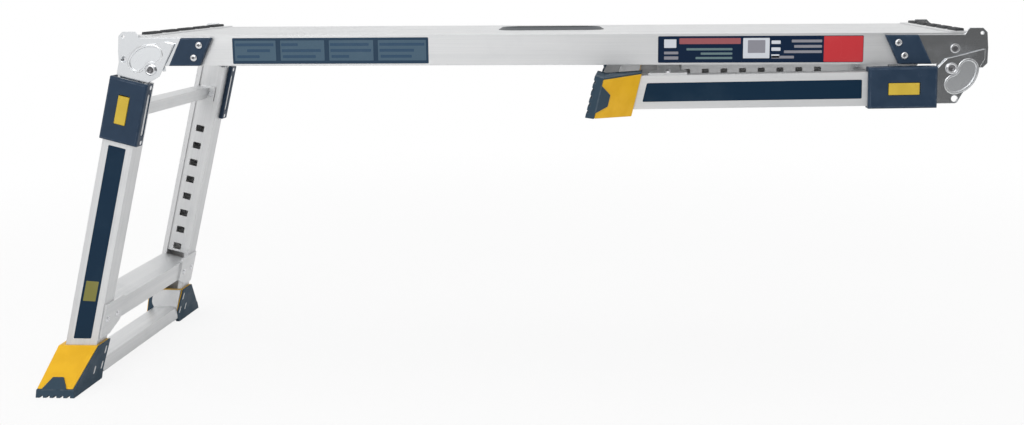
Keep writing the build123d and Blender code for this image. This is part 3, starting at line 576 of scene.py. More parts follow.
GRIP_RUBBER = Moulding(
    "grip_moulding", rgb(0.040, 0.042, 0.046), rgb(0.056, 0.058, 0.062), rgb(0.15, 0.15, 0.15),
    0.62, 0.80, 900.0, 0.30,
)
LEG_FILM = Film("leg_film", rgb(0.003, 0.021, 0.048), rgb(0.008, 0.029, 0.058), 0.18)
NOTICE_FILM = Film("notice_film", rgb(0.016, 0.042, 0.078), rgb(0.024, 0.052, 0.090))
PANEL_FILM = Film("panel_film", rgb(0.060, 0.108, 0.155), rgb(0.072, 0.122, 0.170))
LINE_FILM = Film("line_film", rgb(0.030, 0.070, 0.125), rgb(0.040, 0.082, 0.138))
RATING_FILM = Film("rating_film", rgb(0.003, 0.015, 0.044), rgb(0.008, 0.022, 0.052), 0.18)
SAGE_FILM = Film("sage_film", rgb(0.135, 0.205, 0.215), rgb(0.150, 0.220, 0.230))
ROSE_FILM = Film("rose_film", rgb(0.310, 0.095, 0.105), rgb(0.330, 0.115, 0.125))
PALE_FILM = Film("pale_film", rgb(0.60, 0.63, 0.68), rgb(0.54, 0.57, 0.62))
GREY_FILM = Film("grey_film", rgb(0.250, 0.250, 0.285), rgb(0.280, 0.280, 0.310))
RED_FILM = Film("red_film", rgb(0.52, 0.034, 0.042), rgb(0.57, 0.06, 0.065))
OLIVE_FILM = Film("olive_film", rgb(0.20, 0.19, 0.050), rgb(0.24, 0.22, 0.07))


def paint(finish: Finish, *nodes: str) -> None:
    """Give CAD nodes' objects one finish all over.

    Args:
        finish: The finish.
        nodes: Names of the CAD nodes.
    """
    for node in nodes:
        slots = frame["nodes"][node].data.materials
        slots.clear()
        slots.append(finish.material())
        log.info("dressed %s in %s", node, finish.name)


def cad_mesh(node: str) -> BMesh:
    """Copy a CAD node's mesh, with the corners of its faces joined.

    Args:
        node: The CAD node.

    Returns:
        The copy, to be freed after use.
    """
    work = bmesh.new()
    work.from_mesh(frame["nodes"][node].data)
    bmesh.ops.remove_doubles(work, verts=work.verts, dist=SAME_POINT)
    return work


def islands(node: str) -> list[tuple[Vector, Vector]]:
    """Find the separate solids of a CAD node.

    Args:
        node: The CAD node.

    Returns:
        The lowest and highest corner of each solid's box, in a steady order.
    """
    work = cad_mesh(node)
    boxes = []
    waiting = set(work.verts)
    while waiting:
        queue = [waiting.pop()]
        places = []
        while queue:
            vertex = queue.pop()
            places.append(vertex.co.copy())
            found = {edge.other_vert(vertex) for edge in vertex.link_edges} & waiting
            waiting -= found
            queue += found
        spans = list(zip(*places))
        boxes.append((Vector([min(span) for span in spans]), Vector([max(span) for span in spans])))
    work.free()
    return sorted(boxes, key=lambda box: tuple(box[0]))


def circle(middle: Vector, level: Vector, upright: Vector, radius: float, sides: int) -> list[Vector]:
    """Points round a circle, from its level direction towards its upright one."""
    turns = [2 * math.pi * side / sides for side in range(sides)]
    return [middle + (level * math.cos(turn) + upright * math.sin(turn)) * radius for turn in turns]


def skin(
    work: BMesh, outlines: Sequence[Sequence[Vector]], index: int = 0, smooth: bool = False
) -> list[BMFace]:
    """Close a stack of outlines into one solid.

    Args:
        work: The mesh in work.
        outlines: Outlines of equal length, from one end to the other.
        index: Material index of the faces.
        smooth: Whether the faces are shaded smooth.

    Returns:
        Both end faces, then the faces between the outlines in order.
    """
    rings = [[work.verts.new(point) for point in outline] for outline in outlines]
    faces = [work.faces.new(list(reversed(rings[0]))), work.faces.new(rings[-1])]
    for lower, upper in pairwise(rings):
        for i in range(len(lower)):
            j = (i + 1) % len(lower)
            faces.append(work.faces.new((lower[i], lower[j], upper[j], upper[i])))
    for face in faces:
        face.material_index = index
        face.smooth = smooth
    return faces


def add_object(name: str, data: ID) -> Object:
    """Put a new object into the scene.

    Args:
        name: The object's name.
        data: Its mesh, lamp or camera.

    Returns:
        The new object.
    """
    made = bpy.data.objects.new(name, data)
    bpy.context.scene.collection.objects.link(made)
    return made


def add_piece(
    name: str, work: BMesh, finishes: Sequence[Finish], body: str
) -> Object:
    """Put a new piece into the scene on a CAD body.

    Args:
        name: The piece's name.
        work: Its mesh in work, in the row frame; it is freed here.
        finishes: Finishes in the order of the faces' material indices.
        body: The CAD body that it rides on.

    Returns:
        The new object.
    """
    mesh = bpy.data.meshes.new(name)
    bmesh.ops.recalc_face_normals(work, faces=work.faces)
    work.to_mesh(mesh)
    work.free()
    for finish in finishes:
        mesh.materials.append(finish.material())
    piece = add_object(name, mesh)
    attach(piece, body)
    log.info("built %s on %s", name, body)
    return piece


@dataclass(frozen=True)
class Lining:
    """A second finish for flat faces that look one way along Y, at given distances from the middle."""

    finish: Finish
    facing: float
    depths: tuple[float, ...]
    tolerance: float = 2e-4
    squareness: float = 0.9

    def covers(self, face: BMFace) -> bool:
        """Tell whether a face takes this finish.

        Args:
            face: A face of the piece.

        Returns:
            True if it does.
        """
        away = abs(face.calc_center_median().y)
        at_depth = any(abs(away - depth) < self.tolerance for depth in self.depths)
        return at_depth and face.normal.y * self.facing > self.squareness


@dataclass(frozen=True)
class Rounding:
    """Rounded edges for a piece that stands in for its CAD node."""

    radius: float
    segments: int = 2
    sharpness: float = math.radians(28.0)
    flatness: float = math.radians(0.6)

    def replace(
        self, node: str, finish: Finish, lining: Optional[Lining] = None
    ) -> Object:
        """Build the rounded piece over its node.

        Args:
            node: The CAD node to stand in for.
            finish: The piece's finish.
            lining: A second finish for some of its faces.

        Returns:
            The new object.
        """
        work = cad_mesh(node)
        bmesh.ops.dissolve_limit(work, angle_limit=self.flatness, verts=work.verts, edges=work.edges)
        finishes = [finish, finish.at_edges()]
        if lining:
            finishes.append(lining.finish)
        work.normal_update()
        for face in work.faces:
            face.smooth = True
            face.material_index = 2 if lining and lining.covers(face) else 0
        piece = add_piece(f"{node}_rounded", work, finishes, frame["nodes"][node]["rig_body"])
        bevel = piece.modifiers.new("rounded_edges", "BEVEL")
        bevel.width = self.radius
        bevel.segments = self.segments
        bevel.limit_method = "ANGLE"
        bevel.angle_limit = self.sharpness
        bevel.use_clamp_overlap = False
        # Bevel faces take the edge finish, paler with wear and a painted highlight
        bevel.material = 1
        flats = piece.modifiers.new("flat_faces", "WEIGHTED_NORMAL")
        flats.weight = 100
        flats.keep_sharp = False
        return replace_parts(piece, node)


LEVER_EDGES = Rounding(0.0005)
PLATE_EDGES = Rounding(0.0006)
PAD_EDGES = Rounding(0.0008)
COVER_EDGES = Rounding(0.0009, 3)
COLLAR_EDGES = Rounding(0.0010, 3)
LINER_EDGES = Rounding(0.0012, 3)
SHELL_EDGES = Rounding(0.0012, 3)


@dataclass(frozen=True)
class TurnedHead:
    """A round fastener head, turned from radii and heights, with its middle pocket painted dark as shade."""

    profile: tuple[tuple[float, float], ...]
    pocket: int = 5
    sides: int = 28

    def add(self, work: BMesh, low: Vector, high: Vector, sunk: float = 0.0) -> None:
        """Add one head on the outer end of a fastener that lies along Y.

        Args:
            work: The mesh in work.
            low: Lowest corner of the fastener's box.
            high: Highest corner of the fastener's box.
            sunk: Depth of the head's seat below the fastener's end.
        """
        seat = (low + high) / 2
        out = Y_AXIS * math.copysign(1.0, seat.y)
        seat.y = (high.y if out.y > 0 else low.y) - out.y * sunk
        level = out.orthogonal().normalized()
        upright = out.cross(level)
        turned = [circle(seat + out * z, level, upright, radius, self.sides) for radius, z in self.profile]
        faces = skin(work, turned, smooth=True)
        # End face and pocket take the second finish, painted dark as shade
        for face in [faces[1]] + faces[2 + self.pocket * self.sides:]:
            face.material_index = 1


BLIND_RIVET = TurnedHead((
    (0.0050, 0.0000), (0.0051, 0.0007), (0.0047, 0.0016), (0.0037, 0.0023),
    (0.0024, 0.0026), (0.0019, 0.0025), (0.0017, 0.00185), (0.0004, 0.00183),
))
RING_RIVET = TurnedHead((
    (0.0064, 0.0000), (0.0066, 0.0005), (0.0063, 0.0011), (0.0054, 0.00145),
    (0.0044, 0.00142), (0.0035, 0.00128), (0.0031, 0.00124), (0.0004, 0.00122),
))
PIVOT_HEAD = TurnedHead((
    (0.0074, 0.0000), (0.0076, 0.0004), (0.0072, 0.0011), (0.0062, 0.0015),
    (0.0051, 0.0013), (0.0044, 0.0006), (0.0042, 0.0001), (0.0004, 0.00008),
))


@dataclass(frozen=True)
class RibbedGrip:
    """A rubber grip block with ribs along Y, each drawn by shares of its pitch and of the groove's depth."""

    ribs: int = 4
    groove: float = 0.0009
    ease: float = 0.0005
    rib: tuple[tuple[float, float], ...] = ((0.16, 0.2), (0.30, 0.0), (0.70, 0.0), (0.84, 0.2), (1.0, 1.0))

    def add(self, work: BMesh, low: Vector, high: Vector) -> None:
        """Add one grip that fills a box.

        Args:
            work: The mesh in work.
            low: The box's lowest corner.
            high: The box's highest corner.
        """
        pitch = (high.x - low.x) / self.ribs
        profile = [(low.x, low.z), (low.x, high.z - self.groove)]
        for count, (share, depth) in product(range(self.ribs), self.rib):
            profile.append((low.x + pitch * (count + share), high.z - self.groove * depth))
        profile.append((high.x, low.z))
        ends = ((low.y, self.ease), (low.y + self.ease, 0.0), (high.y - self.ease, 0.0), (high.y, self.ease))
        skin(work, [[Vector((x, y, max(z - drop, low.z))) for x, z in profile] for y, drop in ends])


@dataclass(frozen=True)
class WeldBead:
    """A rippled weld along a line of points."""

    radius: float = 0.0017
    pitch: float = 0.0021
    trough: float = 0.80
    tip: float = 0.55
    steps: int = 6
    sides: int = 10

    def add(self, work: BMesh, points: Sequence[Vector], level: Vector) -> None:
        """Lay the bead.

        Args:
            work: The mesh in work.
            points: Corners of the line.
            level: Direction square to every stretch of the line.
        """
        for start, end in pairwise(points):
            run = end - start
            count = max(int(run.length / self.pitch * self.steps), self.steps)
            lift = run.normalized().cross(level)
            outlines = []
            for share in (step / count for step in range(count + 1)):
                ripple = abs(math.sin(math.pi * run.length * share / self.pitch))
                cap = min(share, 1 - share) * run.length / self.radius
                swell = self.trough + (1 - self.trough) * ripple
                swell *= self.radius * min(1.0, self.tip + (1 - self.tip) * cap)
                outlines.append(circle(start + run * share, lift, level, swell, self.sides))
            skin(work, outlines, smooth=True)


@dataclass
class Sheet:
    """A thin sheet lying on a flat face, whose far end can be cut aslant."""

    origin: Vector
    along: Vector
    up: Vector
    length: float
    height: float
    skew_end: float = field(default=0.0, kw_only=True)
    ease: float = field(default=0.3, kw_only=True)
    corner_limit: float = field(default=0.45, kw_only=True)
    corner_steps: int = field(default=4, kw_only=True)

    def spot(self, x: float, y: float, lift: float) -> Vector:
        """Place on the sheet, at a height above the face."""
        slanted = x + self.skew_end * (y / self.height) * (x / self.length)
        return self.origin + self.along * slanted + self.up * y + self.along.cross(self.up) * lift

    def outline(self, low: Vector, high: Vector, corner: float) -> list[Vector]:
        """Draw a rounded rectangle.

        Args:
            low: Its lower corner at the start.
            high: Its upper corner at the end.
            corner: Corner radius.

        Returns:
            Points round the rectangle, anticlockwise.
        """
        corner = min(corner, *((high - low) * self.corner_limit))
        inset = Vector((corner, corner))
        near, far = low + inset, high - inset
        points = []
        middles = ((far.x, far.y), (near.x, far.y), (near.x, near.y), (far.x, near.y))
        for quarter, (x, y) in enumerate(middles):
            for step in range(self.corner_steps + 1):
                angle = math.pi / 2 * (quarter + step / self.corner_steps)
                points.append(Vector((x + corner * math.cos(angle), y + corner * math.sin(angle))))
        return points

    def add(
        self,
        work: BMesh,
        block: tuple[float, float, float, float],
        corner: float,
        base: float,
        top: float,
        index: int = 0,
    ) -> None:
        """Add one slab of the sheet.

        Args:
            work: The mesh in work.
            block: Its start, end, lower and upper edge, as shares of the sheet's length and height.
            corner: Corner radius.
            base: Height of its underside above the face.
            top: Height of its top above the face.
            index: Material index of its faces.
        """
        start, end, lower, upper = block
        low = Vector((start * self.length, lower * self.height))
        high = Vector((end * self.length, upper * self.height))
        points = self.outline(low, high, corner)
        middle = (low + high) / 2
        ease = self.ease * (top - base)
        outlines = []
        for inset, lift in ((0.0, base), (0.0, top - ease), (ease, top)):
            inner = [point - (point - middle).normalized() * inset for point in points]
            outlines.append([self.spot(point.x, point.y, lift) for point in inner])
        skin(work, outlines, index)


@dataclass(frozen=True)
class Panel:
    """A printed block of a label, as shares of the label's length and height."""

    start: float
    end: float
    low: float
    high: float
    finish: Film
    layer: int = 1

    def ruled(self, finish: Film, lines: Sequence[tuple[float, float]]) -> list["Panel"]:
        """Draw plain lines across the block.

        Args:
            finish: The lines' finish.
            lines: Start and end of each line as shares of the block's length, from the top.

        Returns:
            One panel for each line, a layer above the block.
        """
        spare, first_drop, thickness = 0.4, 0.45, 0.5
        made = []
        length = self.end - self.start
        pitch = (self.high - self.low) / (len(lines) + spare)
        for step, (first, last) in enumerate(lines):
            start, end = self.start + length * first, self.start + length * last
            top = self.high - pitch * (step + first_drop)
            made.append(Panel(start, end, top - pitch * thickness, top, finish, self.layer + 1))
        return made


@dataclass
class Label(Sheet):
    """A film with rounded corners and printed blocks."""

    name: str
    base: Film
    panels: Sequence[Panel]
    corner: float = 0.0016
    film: float = 0.00018
    ink: float = 0.00006
    overlap: float = 0.9

    def build(self, body: str) -> Object:
        """Build the label on a CAD body.

        Args:
            body: The body that carries the label.

        Returns:
            The label's object.
        """
        work = bmesh.new()
        finishes: list[Finish] = [self.base]
        self.add(work, (0.0, 1.0, 0.0, 1.0), self.corner, 0.0, self.film)
        for panel in self.panels:
            if panel.finish not in finishes:
                finishes.append(panel.finish)
            block = (panel.start, panel.end, panel.low, panel.high)
            top = self.film + self.ink * panel.layer
            index = finishes.index(panel.finish)
            self.add(work, block, self.corner / 2, self.film * self.overlap, top, index)
        return add_piece(self.name, work, finishes, body)


@dataclass(frozen=True)
class CoilSpring:
    """A wound compression spring in place of a CAD sleeve, with closed end turns."""

    wire: float
    turns: float
    closed: float = 0.75
    sides: int = 8
    steps: int = 20

    def build(self, name: str, low: Vector, high: Vector, body: str) -> Object:
        """Wind the spring along Y inside a box.

        Args:
            name: The spring's name.
            low: Lowest corner of the sleeve.
            high: Highest corner of the sleeve.
            body: The body that it rides on.

        Returns:
            The spring's object.
        """
        thick = self.wire / 2
        radius = (high.x - low.x) / 2 - thick
        start = (low + high) / 2
        start.y = low.y + thick
        rise = Y_AXIS * (high.y - low.y - self.wire)
        count = int(self.turns * self.steps)
        outlines = []
        for turn in (self.turns * step / count for step in range(count + 1)):
            eased = min(max((turn - self.closed) / (self.turns - 2 * self.closed), 0.0), 1.0)
            angle = 2 * math.pi * turn
            outwards = Vector((math.cos(angle), 0.0, math.sin(angle)))
            middle = start + rise * eased + outwards * radius
            outlines.append(circle(middle, outwards, Y_AXIS, thick, self.sides))
        work = bmesh.new()
        skin(work, outlines, smooth=True)
        return add_piece(name, work, [SPRING_STEEL], body)


@dataclass
class Deck:
    """The deck plank with its end treads, grips, slot liner, rivets and side labels."""

    label_low: float = 0.0026
    label_high: float = 0.0387
    left_label: tuple[float, float] = (-0.4357, -0.1577)
    right_label: tuple[float, float] = (0.1596, 0.4361)
    block_margin: float = 0.012
    cover_rivet: float = 0.0050
    cover_head: float = 0.0018
    ring_head: float = 0.0012

    def __post_init__(self) -> None:
        """Read the plank's box from the CAD."""
        self.low, self.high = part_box("deck_plank")
        self.middle = (self.low.x + self.high.x) / 2

    def dress(self) -> None:
        """Give the deck's CAD pieces their finishes."""
        paint(DECK_METAL, "deck_plank")
        paint(CROSS_METAL, "end_tread_left", "end_tread_right")
        paint(ZINC, "deck_rivets")
        LINER_EDGES.replace("slot_liner", SLATE)

    def grips(self) -> None:
        """Mould ribbed grips in place of the plain blocks on the treads."""
        work = bmesh.new()
        for low, high in islands("tread_grips"):
            RibbedGrip().add(work, low, high)
        grips = add_piece("tread_grips_ribbed", work, [GRIP_RUBBER], "deck")
        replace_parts(grips, "tread_grips")

    def rivet_heads(self) -> None:
        """Set a domed head over each rivet of the hinge covers and plates."""
        work = bmesh.new()
        for low, high in islands("deck_rivets"):
            small = (high.x - low.x) / 2 < self.cover_rivet
            head, height = (BLIND_RIVET, self.cover_head) if small else (RING_RIVET, self.ring_head)
            head.add(work, low, high, height)
        # The second finish paints the pockets' shade
        add_piece("deck_rivet_heads", work, [ZINC, POCKET_SHADE_STEEL], "deck")

    def left_panels(self) -> list[Panel]:
        """Draw four plain blocks with ruled lines.

        Returns:
            The blocks and lines.
        """
        divides = (0.0, 0.235, 0.484, 0.733, 1.0)
        lines = (
            ((0.02, 0.95), (0.30, 0.86), (0.05, 0.60)),
            ((0.02, 0.40), (0.03, 0.92), (0.05, 0.80)),
            ((0.02, 0.90), (0.03, 0.95), (0.05, 0.45)),
            ((0.03, 0.97), (0.03, 0.75), (0.05, 0.70)),
        )
        panels = []
        for (start, end), rules in zip(pairwise(divides), lines):
            block = Panel(start + self.block_margin, end - self.block_margin, 0.12, 0.90, PANEL_FILM)
            panels += [block] + block.ruled(LINE_FILM, rules)
        return panels

    def right_panels(self) -> list[Panel]:
        """Draw plain bars and lines round a pale block, and a red block at the end.

        Returns:
            The blocks, bars and lines.
        """
        table = Panel(0.555, 0.800, 0.06, 0.94, RATING_FILM)
        text = Panel(0.140, 0.390, 0.06, 0.62, RATING_FILM)
        panels = [
            Panel(0.105, 0.405, 0.70, 0.92, ROSE_FILM),
            Panel(0.030, 0.090, 0.56, 0.88, PALE_FILM),
            Panel(0.030, 0.100, 0.12, 0.24, GREY_FILM),
            Panel(0.030, 0.100, 0.32, 0.42, GREY_FILM),
            Panel(0.417, 0.546, 0.16, 0.92, PALE_FILM),
            Panel(0.440, 0.525, 0.36, 0.84, GREY_FILM, 2),
            Panel(0.809, 0.998, 0.02, 0.98, RED_FILM),
        ]
        panels += table.ruled(GREY_FILM, ((0.40, 1.0), (0.45, 1.0), (0.25, 1.0), (0.0, 0.45)))
        panels += table.ruled(PALE_FILM, ((0.0, 0.18), (0.0, 0.18), (0.0, 0.16)))
        panels += text.ruled(SAGE_FILM, ((0.0, 0.90), (0.28, 0.90), (0.18, 0.90)))
        return panels

    def labels(self) -> None:
        """Lay the films on both side walls."""
        films = (
            ("notice", self.left_label, NOTICE_FILM, self.left_panels()),
            ("rating", self.right_label, RATING_FILM, self.right_panels()),
        )
        height = self.label_high - self.label_low
        for row, (name, (start, end), base, panels) in product(Row, films):
            along = Vector((-row.outwards, 0.0, 0.0))
            y = self.low.y if row is Row.FRONT else self.high.y
            origin = Vector((self.middle + along.x * start, y, self.low.z + self.label_low))
            film = f"deck_{name}_film_{row.value}"
            Label(origin, along, Z_AXIS, end - start, height, film, base, panels).build("deck")


@dataclass
class Hinges:
    """The four hinges between deck and legs."""

    deck_middle: float
    dish_floor: float = 0.1864
    dish_rim: float = 0.1884
    washer: float = 0.0090
    wire: float = 0.0009
    turns: float = 6.5

    def dress(self) -> None:
        """Give the hinge pieces their finishes and round the pressed plates and moulded covers."""
        for row, side in product(Row, Side):
            corner = f"{row.value}_{side.value}"
            dish = Lining(DISH_STEEL, row.outwards, (self.dish_floor, self.dish_rim))
            PLATE_EDGES.replace(f"deck_hinge_plate_{corner}", HINGE_STEEL)
            PLATE_EDGES.replace(f"leg_hinge_plate_{corner}", HINGE_STEEL, dish)
            COVER_EDGES.replace(f"hinge_cover_{corner}", NAVY)
            paint(ZINC, f"hinge_lock_pin_{corner}")
        paint(ZINC, "pivot_pins")

    def pivot_heads(self) -> None:
        """Form the rolled outer end of each pivot."""
        work = bmesh.new()
        for low, high in islands("pivot_pins"):
            if (high.x - low.x) / 2 < self.washer:
                PIVOT_HEAD.add(work, low, high)
        body = frame["nodes"]["pivot_pins"]["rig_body"]
        # The second finish paints the pockets' shade
        add_piece("pivot_heads", work, [ZINC, POCKET_SHADE_STEEL], body)

    def springs(self) -> None:
        """Wind a spring round each lock pin."""
        coil = CoilSpring(self.wire, self.turns)
        for low, high in islands("lock_pin_springs"):
            row = "front" if low.y < 0 else "rear"
            side = "left" if low.x < self.deck_middle else "right"
            spring = coil.build(f"lock_pin_spring_{row}_{side}", low, high, "deck")
            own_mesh(spring)
            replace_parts(spring, "lock_pin_springs")


@dataclass(frozen=True)
class SlotMetal:
    """Metal that shows in a slot of a collar or foot pad, given in the leg's own directions."""

    down: float
    across: float
    depth: float
    length: float
    width: float
    slope: float = 0.0


@dataclass
class LegFrame:
    """One leg frame: tubes, rails, collars, levers, bars, feet and labels."""

    side: Side
    lean: float = math.radians(14.3)
    label_start: float = 0.1185
    label_end: float = 0.4070
    label_edge: float = 0.0130
    label_width: float = 0.0255
    weld_inner: float = 0.1167
    weld_outer: float = 0.1547
    weld_top: float = 0.0280
    weld_foot: float = 0.0145
    weld_face: float = 0.1517
    shell_back: float = 0.1547
    slot_metal: tuple[SlotMetal, ...] = (
        SlotMetal(0.0655, -0.0023, 0.1850, 0.0616, 0.0086),
        SlotMetal(0.4289, -0.0010, 0.1637, 0.0126, 0.0046, 0.0521),
        SlotMetal(0.4540, 0.0003, 0.1637, 0.0126, 0.0046, 0.0521),
        SlotMetal(0.4540, 0.0003, 0.1897, 0.0126, 0.0046, 0.0521),
    )
    slot_sheet: float = 0.0008
    wire: float = 0.0007
    turns: float = 4.5

    def __post_init__(self) -> None:
        """Read the frame's pivot and directions from the record's joints."""
        joints = {joint["name"]: joint for joint in frame["joints"]}
        self.pivot = Vector(joints[f"{self.side.value}_leg_fold"]["pos_m"])
        self.along = Vector(joints[f"{self.side.value}_leg_extend"]["axis"]).normalized()
        self.across = self.along.cross(Y_AXIS) * self.side.outwards
        self.sliding = f"{self.side.value}_sliding_frame"
        self.metal = LEG_METAL[self.side]

    def spot(self, down: float, across: float, depth: float) -> Vector:
        """Place given by its way down the leg from the pivot, outwards across it, and along Y."""
        return self.pivot + self.along * down + self.across * across + Y_AXIS * depth

    def floor_spot(self, out: float, height: float, depth: float) -> Vector:
        """Find a place that is given with the frame open.

        Args:
            out: Distance outwards from the pivot.
            height: Height above the floor.
            depth: Y of the place.

        Returns:
            The place in the row frame.
        """
        drop = self.pivot.z - height
        down = out * math.sin(self.lean) + drop * math.cos(self.lean)
        return self.spot(down, out * math.cos(self.lean) - drop * math.sin(self.lean), depth)

    def dress(self) -> None:
        """Give the frame's CAD pieces their finishes and round the moulded ones."""
        side = self.side.value
        for row in Row:
            corner = f"{row.value}_{side}"
            back = Lining(FOOT_RUBBER, -row.outwards, (self.shell_back,))
            paint(self.metal, f"inner_tube_{corner}", f"outer_rail_{corner}")
            COLLAR_EDGES.replace(f"collar_{corner}", NAVY)
            LEVER_EDGES.replace(f"lock_lever_{corner}", LEVER_YELLOW)
            SHELL_EDGES.replace(f"foot_shell_{corner}", YELLOW, back)
            PAD_EDGES.replace(f"foot_pad_{corner}", FOOT_RUBBER)
        paint(CROSS_METAL, f"upper_crossbar_{side}", f"lower_crossbar_{side}", f"bottom_bar_{side}")
        paint(ZINC, f"upper_rivets_{side}", f"lower_fasteners_{side}")

    def welds(self) -> None:
        """Lay the welds between the bottom bar and its end plates."""
        work = bmesh.new()
        places = (
            (self.weld_inner, self.weld_top),
            (self.weld_outer, self.weld_top),
            (self.weld_outer, self.weld_foot),
        )
        for row in Row:
            depth = self.weld_face * row.outwards
            WeldBead().add(work, [self.floor_spot(out, height, depth) for out, height in places], Y_AXIS)
        add_piece(f"bottom_bar_welds_{self.side.value}", work, [CROSS_METAL], self.sliding)

    def slot_plates(self) -> None:
        """Set bare metal in the slots of the collars and of the foot pads' side walls."""
        work = bmesh.new()
        for row, metal in product(Row, self.slot_metal):
            run = (self.along + self.across * metal.slope).normalized()
            out = Y_AXIS * row.outwards
            up = out if run.cross(out).dot(self.across) < 0 else -out
            middle = self.spot(metal.down, metal.across, metal.depth * row.outwards)
            origin = middle - run * metal.length / 2 - up * metal.width / 2
            plate = Sheet(origin, run, up, metal.length, metal.width)
            plate.add(work, (0.0, 1.0, 0.0, 1.0), metal.width / 2, -self.slot_sheet, 0.0)
        add_piece(f"slot_plates_{self.side.value}", work, [self.metal], self.sliding)

    def labels(self) -> None:
        """Lay a film on the outer face of each rail, cut level with the floor at its lower end."""
        slope = self.label_width * math.tan(self.lean)
        length = self.label_end - self.label_start
        panels = [Panel(0.695, 0.800, 0.14, 0.86, OLIVE_FILM)] if self.side is Side.LEFT else []
        for row in Row:
            low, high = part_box(f"outer_rail_{row.value}_{self.side.value}")
            depth = low.y if row is Row.FRONT else high.y
            facing = self.along.cross(self.across).y * row.outwards > 0
            edge = self.label_edge if facing else self.label_edge + self.label_width
            Label(
                self.spot(self.label_start, edge, depth),
                self.along,
                self.across if facing else -self.across,
                length if facing else length + slope,
                self.label_width,
                f"leg_film_{row.value}_{self.side.value}",
                LEG_FILM,
                panels,
                skew_end=slope if facing else -slope,
            ).build(self.sliding)

    def springs(self) -> None:
        """Wind the spring behind each lock lever."""
        side = self.side.value
        coil = CoilSpring(self.wire, self.turns)
        for low, high in islands(f"lever_springs_{side}"):
            row = "front" if low.y < 0 else "rear"
            spring = coil.build(f"lever_spring_{row}_{side}", low, high, self.sliding)
            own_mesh(spring)
            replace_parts(spring, f"lever_springs_{side}")


@dataclass(frozen=True)
class Softbox:
    """A soft square lamp, with its power in watts."""

    name: str
    place: Triple
    size: float
    power: float

    def hang(self, aim: Vector) -> None:
        """Add the lamp to the scene.

        Args:
            aim: The point that it faces.
        """
        light = bpy.data.lights.new(self.name, "AREA")
        light.shape = "SQUARE"
        light.size = self.size
        light.energy = self.power
        lamp = add_object(self.name, light)
        lamp.location = self.place
        lamp.rotation_euler = (aim - lamp.location).to_track_quat("-Z", "Y").to_euler()


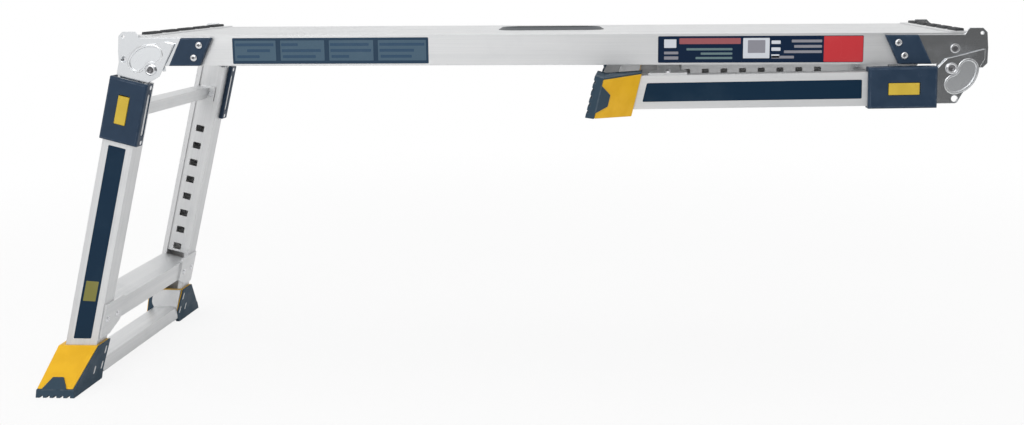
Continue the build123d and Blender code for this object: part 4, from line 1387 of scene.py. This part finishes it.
@dataclass
class Studio:
    """White studio with a floor, soft lamps and the camera."""

    camera_place: Triple = (0.2091, -1.9627, 0.5829)
    camera_yaw: float = 0.0810
    camera_pitch: float = 0.1789
    camera_roll: float = -0.0080
    focal_pixels: float = 1291.5
    middle_pixel: float = 545.0
    image_width: float = 1024.0
    sensor: float = 36.0
    sight: tuple[float, float] = (0.05, 100.0)
    floor_drop: float = 0.0004
    # How far the floor goes, how much of it the camera sees, and how much of it gloss mirrors
    floor_reach: float = 2.6
    floor_clear: float = 0.9
    floor_through: float = 0.87
    floor_mirrored: float = 0.28
    floor_mirror: float = 1.3
    floor_tones: tuple[Colour, Colour] = (rgb(0.80, 0.80, 0.80), rgb(0.82, 0.82, 0.82))
    room_light: float = 0.78
    # What gloss mirrors of the room: its front and rear, a bright part and a dark flag with their cosines
    mirrored_turn: float = 0.5
    mirrored_front: float = 0.50
    mirrored_rear: float = 0.95
    mirrored_bright: float = 0.88
    mirrored_dark: float = 0.24
    bright_side: Triple = (-0.500, -0.866, 0.000)
    bright_edge: tuple[float, float] = (0.866, 0.978)
    dark_side: Triple = (0.258, -0.963, -0.070)
    dark_edge: tuple[float, float] = (0.914, 0.985)
    lamp_aim: Triple = (0.05, 0.0, 0.3)
    lamps: tuple[Softbox, ...] = (
        Softbox("key_softbox", (-0.9, -3.2, 2.0), 2.2, 36.0),
        Softbox("top_softbox", (0.2, -0.3, 3.2), 2.6, 14.0),
    )

    def floor(self) -> None:
        """Lay a floor that keeps the object's shadow and otherwise shows the white surroundings."""
        material = bpy.data.materials.new("studio_floor")
        graph = Graph.blank(material)
        seen, glossy = graph.seen()
        place = graph.node("TexCoord").outputs["Object"]
        away = graph.node("VectorMath", {0: place}, operation="LENGTH").outputs["Value"]
        clear = graph.spread(away, self.floor_clear, self.floor_reach, self.floor_through)
        mirrored = graph.spread(away, self.floor_mirror, self.floor_reach, self.floor_mirrored)
        speckle = graph.spread(graph.noise(place, 3.0, 4.0), 0.3, 0.7)
        matt = graph.node("BsdfDiffuse", {"Color": graph.blend(speckle, *self.floor_tones)}).outputs[0]
        glow = graph.node("Emission", {"Strength": 1.0}).outputs[0]
        through = graph.node("BsdfTransparent").outputs[0]
        glossy_share = graph.maths("MULTIPLY", glossy, mirrored)
        seen_share = graph.maths("MULTIPLY", seen, clear)
        lit = graph.node("MixShader", {0: glossy_share, 1: matt, 2: glow}).outputs[0]
        mixed = graph.node("MixShader", {0: seen_share, 1: lit, 2: through}).outputs[0]
        graph.node("OutputMaterial", {"Surface": mixed})
        work = bmesh.new()
        bmesh.ops.create_circle(work, cap_ends=True, radius=self.floor_reach, segments=128)
        mesh = bpy.data.meshes.new("studio_floor")
        work.to_mesh(mesh)
        work.free()
        mesh.materials.append(material)
        floor = add_object("studio_floor", mesh)
        floor.location.z = -self.floor_drop

    def world(self) -> None:
        """White surroundings, dimmer as light on the object, with a dark flag that metal mirrors."""
        world = bpy.data.worlds.new("white_studio")
        bpy.context.scene.world = world
        graph = Graph.blank(world)
        seen, glossy = graph.seen()
        direction = graph.node("TexCoord").outputs["Generated"]
        rearwards = graph.node("SeparateXYZ", {"Vector": direction}).outputs["Y"]
        mirrored = graph.spread(
            rearwards, -self.mirrored_turn, self.mirrored_turn, self.mirrored_front, self.mirrored_rear
        )
        to_bright = graph.dot(direction, self.bright_side)
        bright = graph.spread(to_bright, *self.bright_edge, 0.0, self.mirrored_bright)
        to_dark = graph.dot(direction, self.dark_side)
        dark = graph.spread(to_dark, *self.dark_edge, 1.0, self.mirrored_dark)
        mirrored = graph.maths("MULTIPLY", graph.maths("MAXIMUM", mirrored, bright), dark)
        shown = graph.maths("MAXIMUM", seen, graph.maths("MULTIPLY", glossy, mirrored))
        unseen = graph.maths("SUBTRACT", 1.0, graph.maths("MAXIMUM", seen, glossy))
        strength = graph.maths("ADD", shown, graph.maths("MULTIPLY", unseen, self.room_light))
        background = graph.node("Background", {"Color": rgb(1.0, 1.0, 1.0), "Strength": strength})
        graph.node("OutputWorld", {"Surface": background.outputs[0]})

    def camera(self) -> None:
        """Stand the camera at the photograph's viewing angle."""
        yaw, pitch, roll = self.camera_yaw, self.camera_pitch, self.camera_roll
        ahead = Vector((-math.sin(yaw) * math.cos(pitch), math.cos(yaw) * math.cos(pitch), -math.sin(pitch)))
        level = Vector((math.cos(yaw), math.sin(yaw), 0.0))
        right = level * math.cos(roll) + level.cross(ahead) * math.sin(roll)
        up = right.cross(ahead)
        data = bpy.data.cameras.new("photo_camera")
        data.sensor_fit = "HORIZONTAL"
        data.sensor_width = self.sensor
        data.lens = self.focal_pixels / self.image_width * self.sensor
        data.shift_x = 0.5 - self.middle_pixel / self.image_width
        data.clip_start, data.clip_end = self.sight
        camera = add_object("photo_camera", data)
        turn = Matrix((right, up, -ahead)).transposed().to_4x4()
        camera.matrix_world = Matrix.Translation(Vector(self.camera_place)) @ turn
        bpy.context.scene.camera = camera

    def build(self) -> None:
        """Set up the whole studio."""
        bpy.context.scene.view_settings.view_transform = "Standard"
        self.floor()
        self.world()
        for lamp in self.lamps:
            lamp.hang(Vector(self.lamp_aim))
        self.camera()


def main() -> None:
    """Build and dress the platform, then the studio around it."""
    logging.basicConfig(level=logging.INFO, format="%(name)s: %(message)s")
    deck = Deck()
    deck.dress()
    deck.grips()
    deck.rivet_heads()
    deck.labels()
    hinges = Hinges(deck.middle)
    hinges.dress()
    hinges.pivot_heads()
    hinges.springs()
    for side in Side:
        legs = LegFrame(side)
        legs.dress()
        legs.welds()
        legs.slot_plates()
        legs.labels()
        legs.springs()
    Studio().build()


if __name__ == "__main__":
    main()
